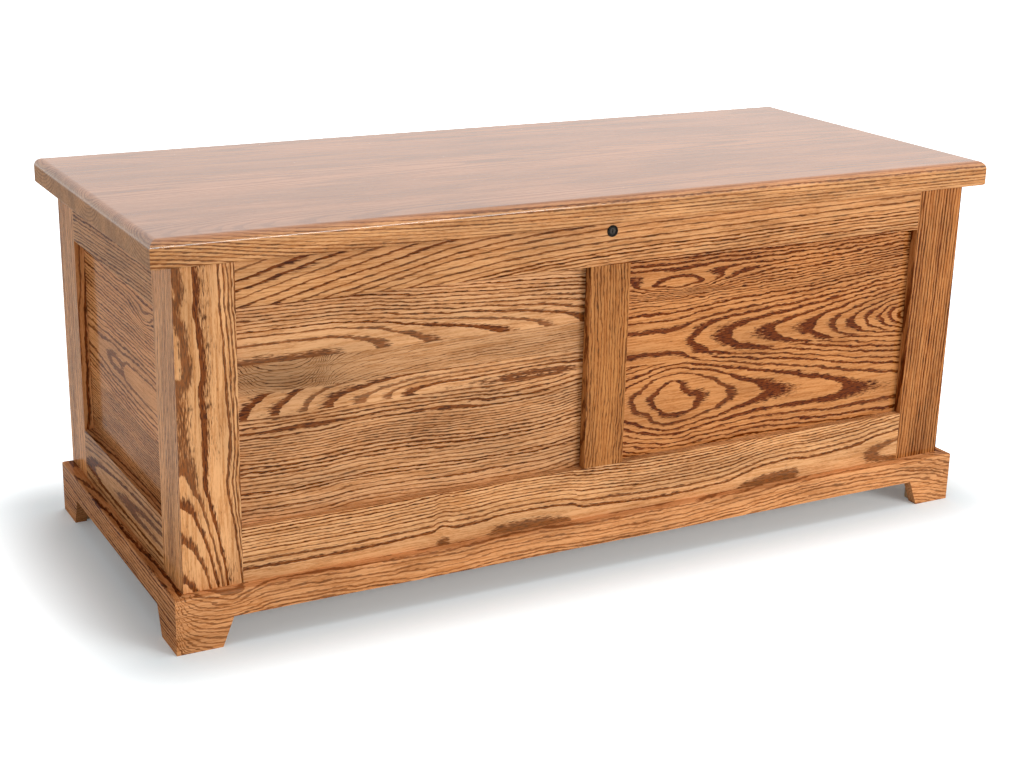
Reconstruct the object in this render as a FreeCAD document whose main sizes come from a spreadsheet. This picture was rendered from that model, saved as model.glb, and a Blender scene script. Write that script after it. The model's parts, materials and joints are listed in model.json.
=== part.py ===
import FreeCAD, Part
import os
import Sketcher

# Blanket chest of frame-and-panel oak. X runs along the front, Y from front to back, Z up.
# The origin is on the floor, at the centre of the chest's overall box. Lengths are in millimetres.

Vector = FreeCAD.Vector
Rotation = FreeCAD.Rotation
Placement = FreeCAD.Placement
X_AXIS = Vector(1, 0, 0)
Y_AXIS = Vector(0, 1, 0)
Z_AXIS = Vector(0, 0, 1)

doc = FreeCAD.newDocument("blanket_chest")
nodes = []

# ---------------------------------------------------------------- driving dimensions

DIMENSIONS = [
    ("lid_length", 1067, "lid, end to end"),
    ("lid_thickness", 30, "lid, one board thick"),
    ("lid_underside", 417, "floor to the lid's underside, closed"),
    ("lid_top_radius", 9.5, "round-over along the lid's upper edge"),
    ("lid_bottom_radius", 3, "eased lower edge of the lid"),
    ("lid_gap", 1.5, "closed lid to the top of the case"),
    ("side_overhang", 24.5, "lid beyond each side of the case"),
    ("front_overhang", 13.5, "lid beyond the front of the case"),
    ("back_overhang", 4.5, "lid beyond the back of the case"),
    ("case_depth", 436, "front face to back face of the case"),
    ("frame_thickness", 22, "stiles and rails"),
    ("stile_width", 66, "stiles, on every wall"),
    ("muntin_width", 52, "upright between two panels"),
    ("front_rail_width", 49.5, "top rail, front and back"),
    ("side_rail_width", 56, "top rail, sides"),
    ("bottom_rail_width", 89, "bottom rail, every wall"),
    ("panel_setback", 11, "face of the frame to the panel groove"),
    ("groove_width", 7, "panel groove"),
    ("groove_depth", 10, "panel groove"),
    ("panel_thickness", 6.5, "flat panels"),
    ("panel_play", 1.5, "free space at the bottom of a groove"),
    ("tenon_play", 0.1, "tenon to groove, each side"),
    ("base_thickness", 14, "base boards"),
    ("base_height", 63, "floor to the top of the base boards"),
    ("base_edge_radius", 2, "eased top edge of the base boards"),
    ("foot_top_width", 64, "foot, where it meets the base board's underside"),
    ("foot_floor_width", 51, "foot, at the floor"),
    ("foot_height", 33, "floor to the base board's underside"),
    ("case_lift", 3, "base board's underside to the case's underside"),
    ("block_clearance", 1, "glue block back from the foot's edges"),
    ("block_lift", 2, "glue block above the floor"),
    ("block_nose", 10, "blunt ends of a glue block"),
    ("cleat_size", 16, "floor cleats, square section"),
    ("floor_thickness", 10, "floor boards"),
    ("floor_play", 1, "floor boards to the walls"),
    ("board_gap", 0.6, "between two floor boards"),
    ("tongue_thickness", 3, "floor board tongue"),
    ("tongue_length", 5, "floor board tongue"),
    ("tongue_play", 0.3, "tongue to its groove"),
    ("hinge_inset", 149, "end of the back wall to an outer hinge"),
    ("hinge_length", 76, "hinge leaves, along the pin"),
    ("hinge_reach", 18, "hinge leaves, onto the top edge of the case"),
    ("leaf_thickness", 2, "hinge leaves"),
    ("barrel_radius", 4.5, "hinge barrel"),
    ("barrel_gap", 0.5, "barrel to the lid's rear edge"),
    ("pin_radius", 2, "hinge pin"),
    ("pin_play", 0.05, "pin to the barrel's bore"),
    ("pin_tip_radius", 3.5, "button tips of the pin"),
    ("pin_tip_length", 2.5, "button tips of the pin"),
    ("knuckle_play", 0.15, "half of the gap between two knuckles"),
    ("hinge_screw_inset", 12, "end of a leaf to its outer screws"),
    ("screw_radius", 1.75, "wood screw shank"),
    ("screw_head_radius", 3.4, "countersunk head"),
    ("screw_length", 19, "wood screw, head included"),
    ("screw_play", 0.1, "shank to its pilot hole"),
    ("pilot_extra", 1, "pilot hole beyond the screw's point"),
    ("slot_width", 0.9, "cross slot in a screw head"),
    ("slot_depth", 1, "cross slot in a screw head"),
    ("slot_reach", 2.1, "cross slot, from the screw's axis to each end"),
    ("lock_drop", 11.8, "lid's underside to the lock's centre"),
    ("lock_flange_radius", 6.75, "ring that shows on the front rail"),
    ("lock_flange_length", 1.4, "ring, proud of the rail"),
    ("lock_body_radius", 5.6, "threaded body, through the rail"),
    ("lock_hole_play", 0.2, "body to its hole in the rail"),
    ("lock_nut_size", 16, "nut, across the flats"),
    ("lock_nut_length", 4, "nut"),
    ("lock_thread_end", 1, "threaded body, beyond its nut"),
    ("plug_radius", 4, "turning plug"),
    ("plug_play", 0.05, "plug to the body's bore"),
    ("plug_recess", 0.7, "plug back from the ring's face"),
    ("key_slot_width", 1.1, "slot for the key"),
    ("key_slot_height", 4.6, "slot for the key"),
    ("key_slot_depth", 3, "slot for the key"),
    ("tail_size", 5, "square tail of the plug"),
    ("cam_gap", 0.5, "threaded body to the cam"),
    ("cam_thickness", 2, "cam"),
    ("cam_width", 7, "cam arm"),
    ("cam_reach", 10.8, "lock's centre to the tip of the cam"),
    ("cam_hub_radius", 5.5, "cam hub"),
    ("cam_play", 0.1, "cam to the plug's square tail"),
    ("cam_screw_radius", 1.5, "cam screw shank"),
    ("cam_screw_length", 6, "cam screw shank"),
    ("cam_head_radius", 3, "cam screw head"),
    ("cam_head_length", 1.8, "cam screw head"),
    ("keeper_thickness", 2, "keeper strap"),
    ("keeper_width", 6, "keeper hook, front to back"),
    ("keeper_clearance", 0.9, "keeper hook to the locked cam"),
    ("keeper_side_gap", 1.4, "keeper leg to the cam's tip"),
    ("keeper_hook", 7.5, "keeper foot, under the cam"),
    ("keeper_plate_length", 30, "keeper plate under the lid"),
    ("keeper_plate_width", 14, "keeper plate under the lid"),
    ("keeper_screw_inset", 8, "end of the keeper plate to a screw"),
    ("bumper_radius", 5, "lid bumpers"),
]

sheet = doc.addObject("Spreadsheet::Sheet", "Dims")
for row, (name, size, meaning) in enumerate(DIMENSIONS, start=1):
    sheet.set(f"A{row}", name)
    sheet.set(f"B{row}", str(size))
    sheet.set(f"C{row}", meaning)
    sheet.setAlias(f"B{row}", name)
doc.recompute()


def value(expression):
    """The number that an expression on the sheet comes to."""
    return float(sheet.evalExpression(expression))


# Derived sizes, as expressions on the sheet.
CASE_WIDTH = "(Dims.lid_length - 2 * Dims.side_overhang)"
LID_DEPTH = "(Dims.front_overhang + Dims.case_depth + Dims.back_overhang)"
CASE_BOTTOM = "(Dims.foot_height + Dims.case_lift)"
CASE_HEIGHT = f"(Dims.lid_underside - Dims.lid_gap - {CASE_BOTTOM})"
INNER_WIDTH = f"({CASE_WIDTH} - 2 * Dims.frame_thickness)"
INNER_DEPTH = "(Dims.case_depth - 2 * Dims.frame_thickness)"
FRONT_MOST = "max(Dims.base_thickness; Dims.front_overhang)"
BACK_MOST = "(Dims.back_overhang + Dims.barrel_gap + 2 * Dims.barrel_radius)"
FRONT_Y = f"({FRONT_MOST} / 2 - (Dims.case_depth + {BACK_MOST}) / 2)"
BACK_Y = f"({FRONT_Y} + Dims.case_depth)"
PIN_Y = f"({BACK_Y} + Dims.back_overhang + Dims.barrel_gap + Dims.barrel_radius)"
PIN_Z = "(Dims.lid_underside - Dims.lid_gap / 2)"
LEAF_WIDTH = f"(Dims.hinge_reach + {PIN_Y} - {BACK_Y})"
LOCK_Z = "(Dims.lid_underside - Dims.lock_drop)"
GROOVE_BACK = "(Dims.panel_setback + Dims.groove_width)"
TENON_FRONT = "(Dims.panel_setback + Dims.tenon_play)"
TENON_BACK = f"({GROOVE_BACK} - Dims.tenon_play)"
TENON_LENGTH = "(Dims.groove_depth - Dims.panel_play / 2)"
HINGE_SPREAD = f"({INNER_WIDTH} / 2 - Dims.hinge_inset - Dims.hinge_length / 2)"
HINGE_PLACES = (("left", f"(0 - {HINGE_SPREAD})"), ("middle", "0"), ("right", HINGE_SPREAD))
KNUCKLES = 5
KNUCKLE = f"(Dims.hinge_length / {KNUCKLES})"


# ---------------------------------------------------------------- building blocks

def new_body(label, at=("0", "0", "0"), axis=Z_AXIS, angle=0, keep=True):
    """A body whose place follows the sheet. A kept body is a node of the chest."""
    body = doc.addObject("PartDesign::Body", label)
    body.Label = label
    body.Placement = Placement(Vector(0, 0, 0), Rotation(axis, angle))
    for letter, expression in zip("xyz", at):
        body.setExpression(f"Placement.Base.{letter}", expression)
    if keep:
        nodes.append(body)
    return body


def add_outline(sketch, points):
    """A closed outline whose every corner is held at its x and y expressions."""
    first = sketch.GeometryCount
    corners = [(value(x), value(y)) for x, y in points]
    count = len(points)
    for i in range(count):
        start = Vector(*corners[i], 0)
        end = Vector(*corners[(i + 1) % count], 0)
        sketch.addGeometry(Part.LineSegment(start, end))
    for i in range(count):
        sketch.addConstraint(Sketcher.Constraint("Coincident", first + i, 2, first + (i + 1) % count, 1))
    for i in range(count):
        hold_point(sketch, first + i, 1, points[i], corners[i])


def hold_point(sketch, geometry, position, expressions, numbers):
    """Ties one point of a sketch to the sketch's origin or axes."""
    for kind, axis, expression, number in zip(("DistanceX", "DistanceY"), (-2, -1), expressions, numbers):
        if expression == "0":
            sketch.addConstraint(Sketcher.Constraint("PointOnObject", geometry, position, axis))
            continue
        index = sketch.addConstraint(Sketcher.Constraint(kind, -1, 1, geometry, position, number))
        sketch.setExpression(f"Constraints[{index}]", expression)


def add_circle(sketch, x, y, radius):
    """A circle held at its centre and radius."""
    centre = (value(x), value(y))
    index = sketch.addGeometry(Part.Circle(Vector(*centre, 0), Z_AXIS, value(radius)))
    hold_point(sketch, index, 3, (x, y), centre)
    constraint = sketch.addConstraint(Sketcher.Constraint("Radius", index, value(radius)))
    sketch.setExpression(f"Constraints[{constraint}]", radius)


def new_sketch(body, name, plane, outlines=(), circles=(), offset="0"):
    """A sketch on one of the body's own origin planes: XY, XZ or YZ."""
    sketch = body.newObject("Sketcher::SketchObject", f"{body.Name}_{name}")
    origin_plane = next(f for f in body.Origin.OriginFeatures if f.Role == f"{plane}_Plane")
    sketch.AttachmentSupport = (origin_plane, [""])
    sketch.MapMode = "FlatFace"
    sketch.setExpression("AttachmentOffset.Base.z", offset)
    for points in outlines:
        add_outline(sketch, points)
    for x, y, radius in circles:
        add_circle(sketch, x, y, radius)
    return sketch


def pad(sketch, length, reverse=False):
    body = sketch.getParentGeoFeatureGroup()
    feature = body.newObject("PartDesign::Pad", f"{sketch.Name}_pad")
    feature.Profile = sketch
    feature.setExpression("Length", length)
    feature.Reversed = reverse
    return feature


def pocket(sketch, length=None, reverse=False):
    """Cuts a sketch to a length, or right through where none is given, and checks that it cut."""
    body = sketch.getParentGeoFeatureGroup()
    doc.recompute()
    before = body.Shape.Volume
    feature = body.newObject("PartDesign::Pocket", f"{sketch.Name}_pocket")
    feature.Profile = sketch
    feature.Reversed = reverse
    if length is None:
        feature.Type = "ThroughAll"
    else:
        feature.setExpression("Length", length)
    doc.recompute()
    if not body.Shape.Volume < before:
        raise RuntimeError(f"{feature.Name} cuts nothing")
    return feature


def primitive(body, kind, name, sizes, at=("0", "0", "0"), axis=Z_AXIS, angle=0):
    """An additive or subtractive box or cylinder in a body's own frame."""
    feature = body.newObject(f"PartDesign::{kind}", f"{body.Name}_{name}")
    feature.Placement = Placement(Vector(0, 0, 0), Rotation(axis, angle))
    for letter, expression in zip("xyz", at):
        feature.setExpression(f"Placement.Base.{letter}", expression)
    for size_name, expression in sizes.items():
        feature.setExpression(size_name, expression)
    return feature


def round_edges(body, radius, test):
    """Rounds the edges of the body's last feature whose end points all pass the test."""
    doc.recompute()
    last = body.Tip
    names = []
    for index, edge in enumerate(last.Shape.Edges, start=1):
        if all(test(vertex.Point) for vertex in edge.Vertexes):
            names.append(f"Edge{index}")
    fillet = body.newObject("PartDesign::Fillet", f"{body.Name}_fillet")
    fillet.Base = (last, names)
    fillet.setExpression("Radius", radius)
    doc.recompute()
    return fillet


def group(label, shape, placements):
    """Equal pieces, each a solid of its own, kept together as one node."""
    feature = doc.addObject("Part::Feature", label)
    feature.Label = label
    feature.Shape = Part.makeCompound([moved(shape, place) for place in placements])
    nodes.append(feature)
    return feature


def moved(shape, place):
    copy = shape.copy()
    copy.Placement = place.multiply(copy.Placement)
    return copy


# ---------------------------------------------------------------- walls of the case
# A wall is drawn as seen from outside: x along it from its left end, y into it from its face, z up
# from the underside of the case. Left and right in its pieces' names are as seen from there too.
# Where two walls meet at the front their stiles are mitred.

class Wall:
    def __init__(self, name, width, top_rail, at, turn, mitres=(), muntin=False):
        self.name = name
        self.width = width
        self.top_rail = top_rail
        self.at = (at[0], at[1], CASE_BOTTOM)
        self.turn = turn
        self.mitres = mitres
        self.muntin = muntin
        self.rail_length = f"({width} - 2 * Dims.stile_width)"
        self.opening_top = f"({CASE_HEIGHT} - {top_rail})"

    def body(self, piece):
        return new_body(f"{self.name}_{piece}", self.at, Z_AXIS, self.turn)


def stile(wall, piece, mitred, at_right):
    """An upright at one end of a wall, grooved on its inner edge over its whole length."""
    inner_corner = "Dims.frame_thickness" if mitred else "0"
    shoulder = "(Dims.stile_width - Dims.groove_depth)"
    points = [
        ("0", "0"),
        ("Dims.stile_width", "0"),
        ("Dims.stile_width", "Dims.panel_setback"),
        (shoulder, "Dims.panel_setback"),
        (shoulder, GROOVE_BACK),
        ("Dims.stile_width", GROOVE_BACK),
        ("Dims.stile_width", "Dims.frame_thickness"),
        (inner_corner, "Dims.frame_thickness"),
    ]
    if at_right:
        points = [(f"({wall.width} - {x})", y) for x, y in points]
    body = wall.body(piece)
    pad(new_sketch(body, "plan", "XY", [points]), CASE_HEIGHT)
    return body


def rail(wall, piece, width, bottom, groove_on_top):
    """A level member between the stiles, with a panel groove and a stub tenon at each end."""
    lip = f"({width} - Dims.groove_depth)"
    section = [
        ("0", "0"),
        ("Dims.frame_thickness", "0"),
        ("Dims.frame_thickness", width),
        (GROOVE_BACK, width),
        (GROOVE_BACK, lip),
        ("Dims.panel_setback", lip),
        ("Dims.panel_setback", width),
        ("0", width),
    ]
    tenon_low, tenon_high = "0", lip
    if not groove_on_top:
        section = [(y, f"({width} - {z})") for y, z in section]
        tenon_low, tenon_high = "Dims.groove_depth", width
    section = [(y, f"({bottom} + {z})") for y, z in section]
    tenon = box_outline(TENON_FRONT, TENON_BACK, f"({bottom} + {tenon_low})", f"({bottom} + {tenon_high})")
    body = wall.body(piece)
    tenon_start = f"(Dims.stile_width - {TENON_LENGTH})"
    tenon_reach = f"{wall.rail_length} + 2 * {TENON_LENGTH}"
    pad(new_sketch(body, "section", "YZ", [section], offset="Dims.stile_width"), wall.rail_length)
    pad(new_sketch(body, "tenon", "YZ", [tenon], offset=tenon_start), tenon_reach)
    return body


def muntin(wall):
    """The upright between two panels, grooved on both edges and tenoned into both rails."""
    left = f"(({wall.width} - Dims.muntin_width) / 2)"
    right = f"(({wall.width} + Dims.muntin_width) / 2)"
    groove_left = f"({left} + Dims.groove_depth)"
    groove_right = f"({right} - Dims.groove_depth)"
    plan = [
        (left, "0"),
        (right, "0"),
        (right, "Dims.panel_setback"),
        (groove_right, "Dims.panel_setback"),
        (groove_right, GROOVE_BACK),
        (right, GROOVE_BACK),
        (right, "Dims.frame_thickness"),
        (left, "Dims.frame_thickness"),
        (left, GROOVE_BACK),
        (groove_left, GROOVE_BACK),
        (groove_left, "Dims.panel_setback"),
        (left, "Dims.panel_setback"),
    ]
    tenon = box_outline(groove_left, groove_right, TENON_FRONT, TENON_BACK)
    height = f"({wall.opening_top} - Dims.bottom_rail_width)"
    body = wall.body("muntin")
    pad(new_sketch(body, "plan", "XY", [plan], offset="Dims.bottom_rail_width"), height)
    tenon_bottom = f"(Dims.bottom_rail_width - {TENON_LENGTH})"
    pad(new_sketch(body, "tenon", "XY", [tenon], offset=tenon_bottom), f"{height} + 2 * {TENON_LENGTH}")
    return body


def panel(wall, piece, left, right):
    """A flat panel that floats in the grooves round one opening."""
    tongue = "(Dims.groove_depth - Dims.panel_play)"
    middle = "(Dims.panel_setback + Dims.groove_width / 2)"
    front = f"({middle} - Dims.panel_thickness / 2)"
    back = f"({middle} + Dims.panel_thickness / 2)"
    plan = box_outline(f"({left} - {tongue})", f"({right} + {tongue})", front, back)
    height = f"{wall.opening_top} - Dims.bottom_rail_width + 2 * {tongue}"
    body = wall.body(piece)
    pad(new_sketch(body, "plan", "XY", [plan], offset=f"(Dims.bottom_rail_width - {tongue})"), height)
    return body


def box_outline(low_x, high_x, low_y, high_y):
    return [(low_x, low_y), (high_x, low_y), (high_x, high_y), (low_x, high_y)]


def build_wall(wall, stile_names):
    """The stiles, rails, muntin and panels of one wall. Gives the rails back for further work."""
    left_name, right_name = stile_names
    stile(wall, left_name, "left" in wall.mitres, at_right=False)
    stile(wall, right_name, "right" in wall.mitres, at_right=True)
    bottom_rail = rail(wall, "bottom_rail", "Dims.bottom_rail_width", "0", groove_on_top=True)
    top_rail = rail(wall, "top_rail", wall.top_rail, wall.opening_top, groove_on_top=False)
    left_edge = "Dims.stile_width"
    right_edge = f"({wall.width} - Dims.stile_width)"
    if wall.muntin:
        muntin(wall)
        panel(wall, "left_panel", left_edge, f"(({wall.width} - Dims.muntin_width) / 2)")
        panel(wall, "right_panel", f"(({wall.width} + Dims.muntin_width) / 2)", right_edge)
    else:
        panel(wall, "panel", left_edge, right_edge)
    return bottom_rail, top_rail


FRONT_RAIL = "Dims.front_rail_width"
SIDE_RAIL = "Dims.side_rail_width"
DEPTH = "Dims.case_depth"
front_at = (f"(0 - {CASE_WIDTH} / 2)", FRONT_Y)
left_at = (f"(0 - {CASE_WIDTH} / 2)", BACK_Y)
right_at = (f"({CASE_WIDTH} / 2)", FRONT_Y)
back_at = (f"({INNER_WIDTH} / 2)", BACK_Y)
front = Wall("front", CASE_WIDTH, FRONT_RAIL, front_at, 0, mitres=("left", "right"), muntin=True)
left_side = Wall("left_side", DEPTH, SIDE_RAIL, left_at, -90, mitres=("right",))
right_side = Wall("right_side", DEPTH, SIDE_RAIL, right_at, 90, mitres=("left",))
back = Wall("back", INNER_WIDTH, FRONT_RAIL, back_at, 180, muntin=True)

front_rails = build_wall(front, ("left_stile", "right_stile"))
build_wall(left_side, ("rear_stile", "front_stile"))
build_wall(right_side, ("front_stile", "rear_stile"))
back_rails = build_wall(back, ("left_stile", "right_stile"))


# ---------------------------------------------------------------- lock hole and hinge seats in the rails

front_top_rail = front_rails[1]
lock_hole_radius = "(Dims.lock_body_radius + Dims.lock_hole_play)"
lock_hole = (f"({CASE_WIDTH} / 2)", f"({LOCK_Z} - {CASE_BOTTOM})", lock_hole_radius)
pocket(new_sketch(front_top_rail, "lock_hole", "XZ", circles=[lock_hole]))

SCREW_PLACES = (
    "Dims.hinge_screw_inset",
    "(Dims.hinge_length / 2)",
    "(Dims.hinge_length - Dims.hinge_screw_inset)",
)
PILOT_RADIUS = "(Dims.screw_radius + Dims.screw_play)"
PILOT_DEPTH = "(Dims.screw_length + Dims.pilot_extra)"


def hinge_seats(middle, edge_low, edge_high, screw_line):
    """Outlines of the three leaf recesses along an edge, and the circles of their screws."""
    outlines = []
    circles = []
    for _, place in HINGE_PLACES:
        start = f"({middle} + {place} - Dims.hinge_length / 2)"
        end = f"({middle} + {place} + Dims.hinge_length / 2)"
        outlines.append(box_outline(start, end, edge_low, edge_high))
        circles += [(f"({start} + {along})", screw_line, PILOT_RADIUS) for along in SCREW_PLACES]
    return outlines, circles


back_top_rail = back_rails[1]
seats, pilots = hinge_seats(f"({INNER_WIDTH} / 2)", "0", "Dims.hinge_reach", "(Dims.hinge_reach / 2)")
pocket(new_sketch(back_top_rail, "seats", "XY", seats, offset=CASE_HEIGHT), "Dims.leaf_thickness")
pocket(new_sketch(back_top_rail, "pilots", "XY", circles=pilots, offset=CASE_HEIGHT), PILOT_DEPTH)


# ---------------------------------------------------------------- lid
# Drawn from its lower front left corner.

LID_FRONT_Y = f"({FRONT_Y} - Dims.front_overhang)"
lid = new_body("lid_top", ("(0 - Dims.lid_length / 2)", LID_FRONT_Y, "Dims.lid_underside"))
lid_plan = box_outline("0", "Dims.lid_length", "0", LID_DEPTH)
pad(new_sketch(lid, "plan", "XY", [lid_plan]), "Dims.lid_thickness")
lid_top_level = value("Dims.lid_thickness")
TOUCH = 0.001
round_edges(lid, "Dims.lid_top_radius", lambda point: abs(point.z - lid_top_level) < TOUCH)
round_edges(lid, "Dims.lid_bottom_radius", lambda point: abs(point.z) < TOUCH)

LID_BACK_FACE = "(Dims.front_overhang + Dims.case_depth)"
seats, pilots = hinge_seats("(Dims.lid_length / 2)", f"({LID_BACK_FACE} - Dims.hinge_reach)", LID_DEPTH,
                            f"({LID_BACK_FACE} - Dims.hinge_reach / 2)")
pocket(new_sketch(lid, "seats", "XY", seats), "Dims.leaf_thickness", reverse=True)
pocket(new_sketch(lid, "pilots", "XY", circles=pilots), PILOT_DEPTH, reverse=True)


# ---------------------------------------------------------------- base

def base_board(label, at, turn, length, mitred_left, mitred_right):
    """A board laid against the foot of a wall, cut away below between its two splayed feet."""
    left = "Dims.base_thickness" if mitred_left else "0"
    right = f"({length} - Dims.base_thickness)" if mitred_right else length
    body = new_body(label, (at[0], at[1], "0"), Z_AXIS, turn)
    plan = [("0", "0"), (length, "0"), (right, "Dims.base_thickness"), (left, "Dims.base_thickness")]
    pad(new_sketch(body, "plan", "XY", [plan]), "Dims.base_height")
    gap = [
        ("Dims.foot_floor_width", "0"),
        (f"({length} - Dims.foot_floor_width)", "0"),
        (f"({length} - Dims.foot_top_width)", "Dims.foot_height"),
        ("Dims.foot_top_width", "Dims.foot_height"),
    ]
    pocket(new_sketch(body, "gap", "XZ", [gap]))
    top = value("Dims.base_height")
    on_front_arris = lambda point: abs(point.z - top) < TOUCH and abs(point.y) < TOUCH
    round_edges(body, "Dims.base_edge_radius", on_front_arris)
    return body


FRONT_BOARD = f"({CASE_WIDTH} + 2 * Dims.base_thickness)"
SIDE_BOARD = "(Dims.case_depth + Dims.base_thickness)"
BASE_FRONT_Y = f"({FRONT_Y} - Dims.base_thickness)"
base_board("base_front", (f"(0 - {FRONT_BOARD} / 2)", BASE_FRONT_Y), 0, FRONT_BOARD, True, True)
base_board("base_left", (f"(0 - {FRONT_BOARD} / 2)", BACK_Y), -90, SIDE_BOARD, False, True)
base_board("base_right", (f"({FRONT_BOARD} / 2)", BASE_FRONT_Y), 90, SIDE_BOARD, True, False)

BRACKET_TOP = "(Dims.foot_top_width - Dims.base_thickness)"
BRACKET_FLOOR = "(Dims.foot_floor_width - Dims.base_thickness)"
for side, at_left in (("left", True), ("right", False)):
    # Short boards under the back of the case carry the rear corners beside the side boards.
    outline = [
        ("0", "0"),
        (BRACKET_FLOOR, "0"),
        (BRACKET_TOP, "Dims.foot_height"),
        (BRACKET_TOP, CASE_BOTTOM),
        ("0", CASE_BOTTOM),
    ]
    if not at_left:
        outline = [(f"({CASE_WIDTH} - {x})", z) for x, z in outline]
    bracket = new_body(f"rear_bracket_{side}", (f"(0 - {CASE_WIDTH} / 2)", BACK_Y, "0"))
    pad(new_sketch(bracket, "face", "XZ", [outline]), "Dims.base_thickness")

BLOCK_SIZE = "(Dims.foot_floor_width - Dims.base_thickness - Dims.block_clearance)"
block = new_body("corner_block", keep=False)
block_plan = [
    ("0", "0"),
    (BLOCK_SIZE, "0"),
    (BLOCK_SIZE, "Dims.block_nose"),
    ("Dims.block_nose", BLOCK_SIZE),
    ("0", BLOCK_SIZE),
]
pad(new_sketch(block, "plan", "XY", [block_plan]), f"{CASE_BOTTOM} - Dims.block_lift")
doc.recompute()
half_case = value(CASE_WIDTH) / 2
rear_block_y = value(f"{BACK_Y} - Dims.base_thickness")
block_corners = (
    (-half_case, value(FRONT_Y), 0),
    (half_case, value(FRONT_Y), 90),
    (half_case, rear_block_y, 180),
    (-half_case, rear_block_y, 270),
)
block_places = []
for x, y, turn in block_corners:
    block_places.append(Placement(Vector(x, y, value("Dims.block_lift")), Rotation(Z_AXIS, turn)))
group("corner_blocks", block.Shape, block_places)


# ---------------------------------------------------------------- floor of the chest

INNER_FRONT = f"({FRONT_Y} + Dims.frame_thickness)"
INNER_BACK = f"({BACK_Y} - Dims.frame_thickness)"
CLEAT_LENGTH = f"({INNER_WIDTH} - 2 * Dims.floor_play)"
for side, start in (("front", INNER_FRONT), ("rear", f"({INNER_BACK} - Dims.cleat_size)")):
    cleat = new_body(f"floor_cleat_{side}", (f"(0 - {CLEAT_LENGTH} / 2)", start, CASE_BOTTOM))
    section = box_outline("0", "Dims.cleat_size", "0", "Dims.cleat_size")
    pad(new_sketch(cleat, "section", "YZ", [section]), CLEAT_LENGTH)

FLOOR_BOARDS = 6
BOARD_PITCH = f"(({INNER_WIDTH} - 2 * Dims.floor_play) / {FLOOR_BOARDS})"
BOARD_WIDTH = f"({BOARD_PITCH} - Dims.board_gap)"
BOARD_LENGTH = f"({INNER_DEPTH} - 2 * Dims.floor_play)"
TONGUE_LOW = "((Dims.floor_thickness - Dims.tongue_thickness) / 2)"
TONGUE_HIGH = "((Dims.floor_thickness + Dims.tongue_thickness) / 2)"
for number in range(FLOOR_BOARDS):
    # Cedar boards run from front to back, each tongue in the groove of the next board.
    start_x = f"({number} * {BOARD_PITCH} - {INNER_WIDTH} / 2 + Dims.floor_play)"
    end_y = f"({INNER_FRONT} + Dims.floor_play + {BOARD_LENGTH})"
    board = new_body(f"floor_board_{number + 1}", (start_x, end_y, f"({CASE_BOTTOM} + Dims.cleat_size)"))
    groove_low = f"({TONGUE_LOW} - Dims.tongue_play)"
    groove_high = f"({TONGUE_HIGH} + Dims.tongue_play)"
    groove_depth = "(Dims.tongue_length + Dims.tongue_play)"
    tongue_tip = f"({BOARD_WIDTH} + Dims.tongue_length)"
    tongue = [
        (BOARD_WIDTH, TONGUE_LOW),
        (tongue_tip, TONGUE_LOW),
        (tongue_tip, TONGUE_HIGH),
        (BOARD_WIDTH, TONGUE_HIGH),
    ]
    groove = [
        ("0", groove_high),
        (groove_depth, groove_high),
        (groove_depth, groove_low),
        ("0", groove_low),
    ]
    section = [("0", "0"), (BOARD_WIDTH, "0")]
    if number < FLOOR_BOARDS - 1:
        section += tongue
    section += [(BOARD_WIDTH, "Dims.floor_thickness"), ("0", "Dims.floor_thickness")]
    if number > 0:
        section += groove
    pad(new_sketch(board, "section", "XZ", [section]), BOARD_LENGTH)


# ---------------------------------------------------------------- hinges
# A leaf is drawn with its pin along x at the origin and its plate towards +y, just below the pin.
# The lid's leaf is the same piece turned upside down, with knuckles where the case's leaf has none.

def hinge_leaf(label, at, axis, knuckles):
    body = new_body(label, at, axis, 180)
    plate_top = "(Dims.lid_gap / 2)"
    plate = {"Length": "Dims.hinge_length", "Width": LEAF_WIDTH, "Height": "Dims.leaf_thickness"}
    primitive(body, "AdditiveBox", "plate", plate, ("0", "0", f"(0 - {plate_top} - Dims.leaf_thickness)"))
    barrel = {"Radius": "Dims.barrel_radius", "Height": "Dims.hinge_length"}
    primitive(body, "AdditiveCylinder", "barrel", barrel, axis=Y_AXIS, angle=90)
    reach = "(Dims.barrel_radius + Dims.barrel_gap)"
    gap_length = f"{KNUCKLE} + 2 * Dims.knuckle_play"
    gap = {"Length": gap_length, "Width": f"2 * {reach}", "Height": f"2 * {reach}"}
    for number in range(KNUCKLES):
        if number not in knuckles:
            corner = (f"({number} * {KNUCKLE} - Dims.knuckle_play)", f"(0 - {reach})", f"(0 - {reach})")
            primitive(body, "SubtractiveBox", f"gap_{number}", gap, corner)
    bore = {"Radius": "Dims.pin_radius + Dims.pin_play", "Height": "Dims.hinge_length"}
    primitive(body, "SubtractiveCylinder", "bore", bore, axis=Y_AXIS, angle=90)
    screw_line = f"({LEAF_WIDTH} - Dims.hinge_reach / 2)"
    circles = [(along, screw_line, PILOT_RADIUS) for along in SCREW_PLACES]
    holes_sketch = new_sketch(body, "screws", "XY", circles=circles, offset=f"(0 - {plate_top})")
    doc.recompute()
    solid_volume = body.Shape.Volume
    holes = body.newObject("PartDesign::Hole", f"{body.Name}_holes")
    holes.Profile = holes_sketch
    doc.recompute()
    holes.DepthType = "ThroughAll"
    holes.HoleCutType = "Countersink"
    holes.HoleCutCountersinkAngle = 90
    holes.setExpression("Diameter", "2 * (Dims.screw_radius + Dims.screw_play)")
    holes.setExpression("HoleCutDiameter", "2 * (Dims.screw_head_radius + Dims.screw_play)")
    doc.recompute()
    if not body.Shape.Volume < solid_volume:
        raise RuntimeError(f"{label}: the screw holes cut nothing")
    return body


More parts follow.
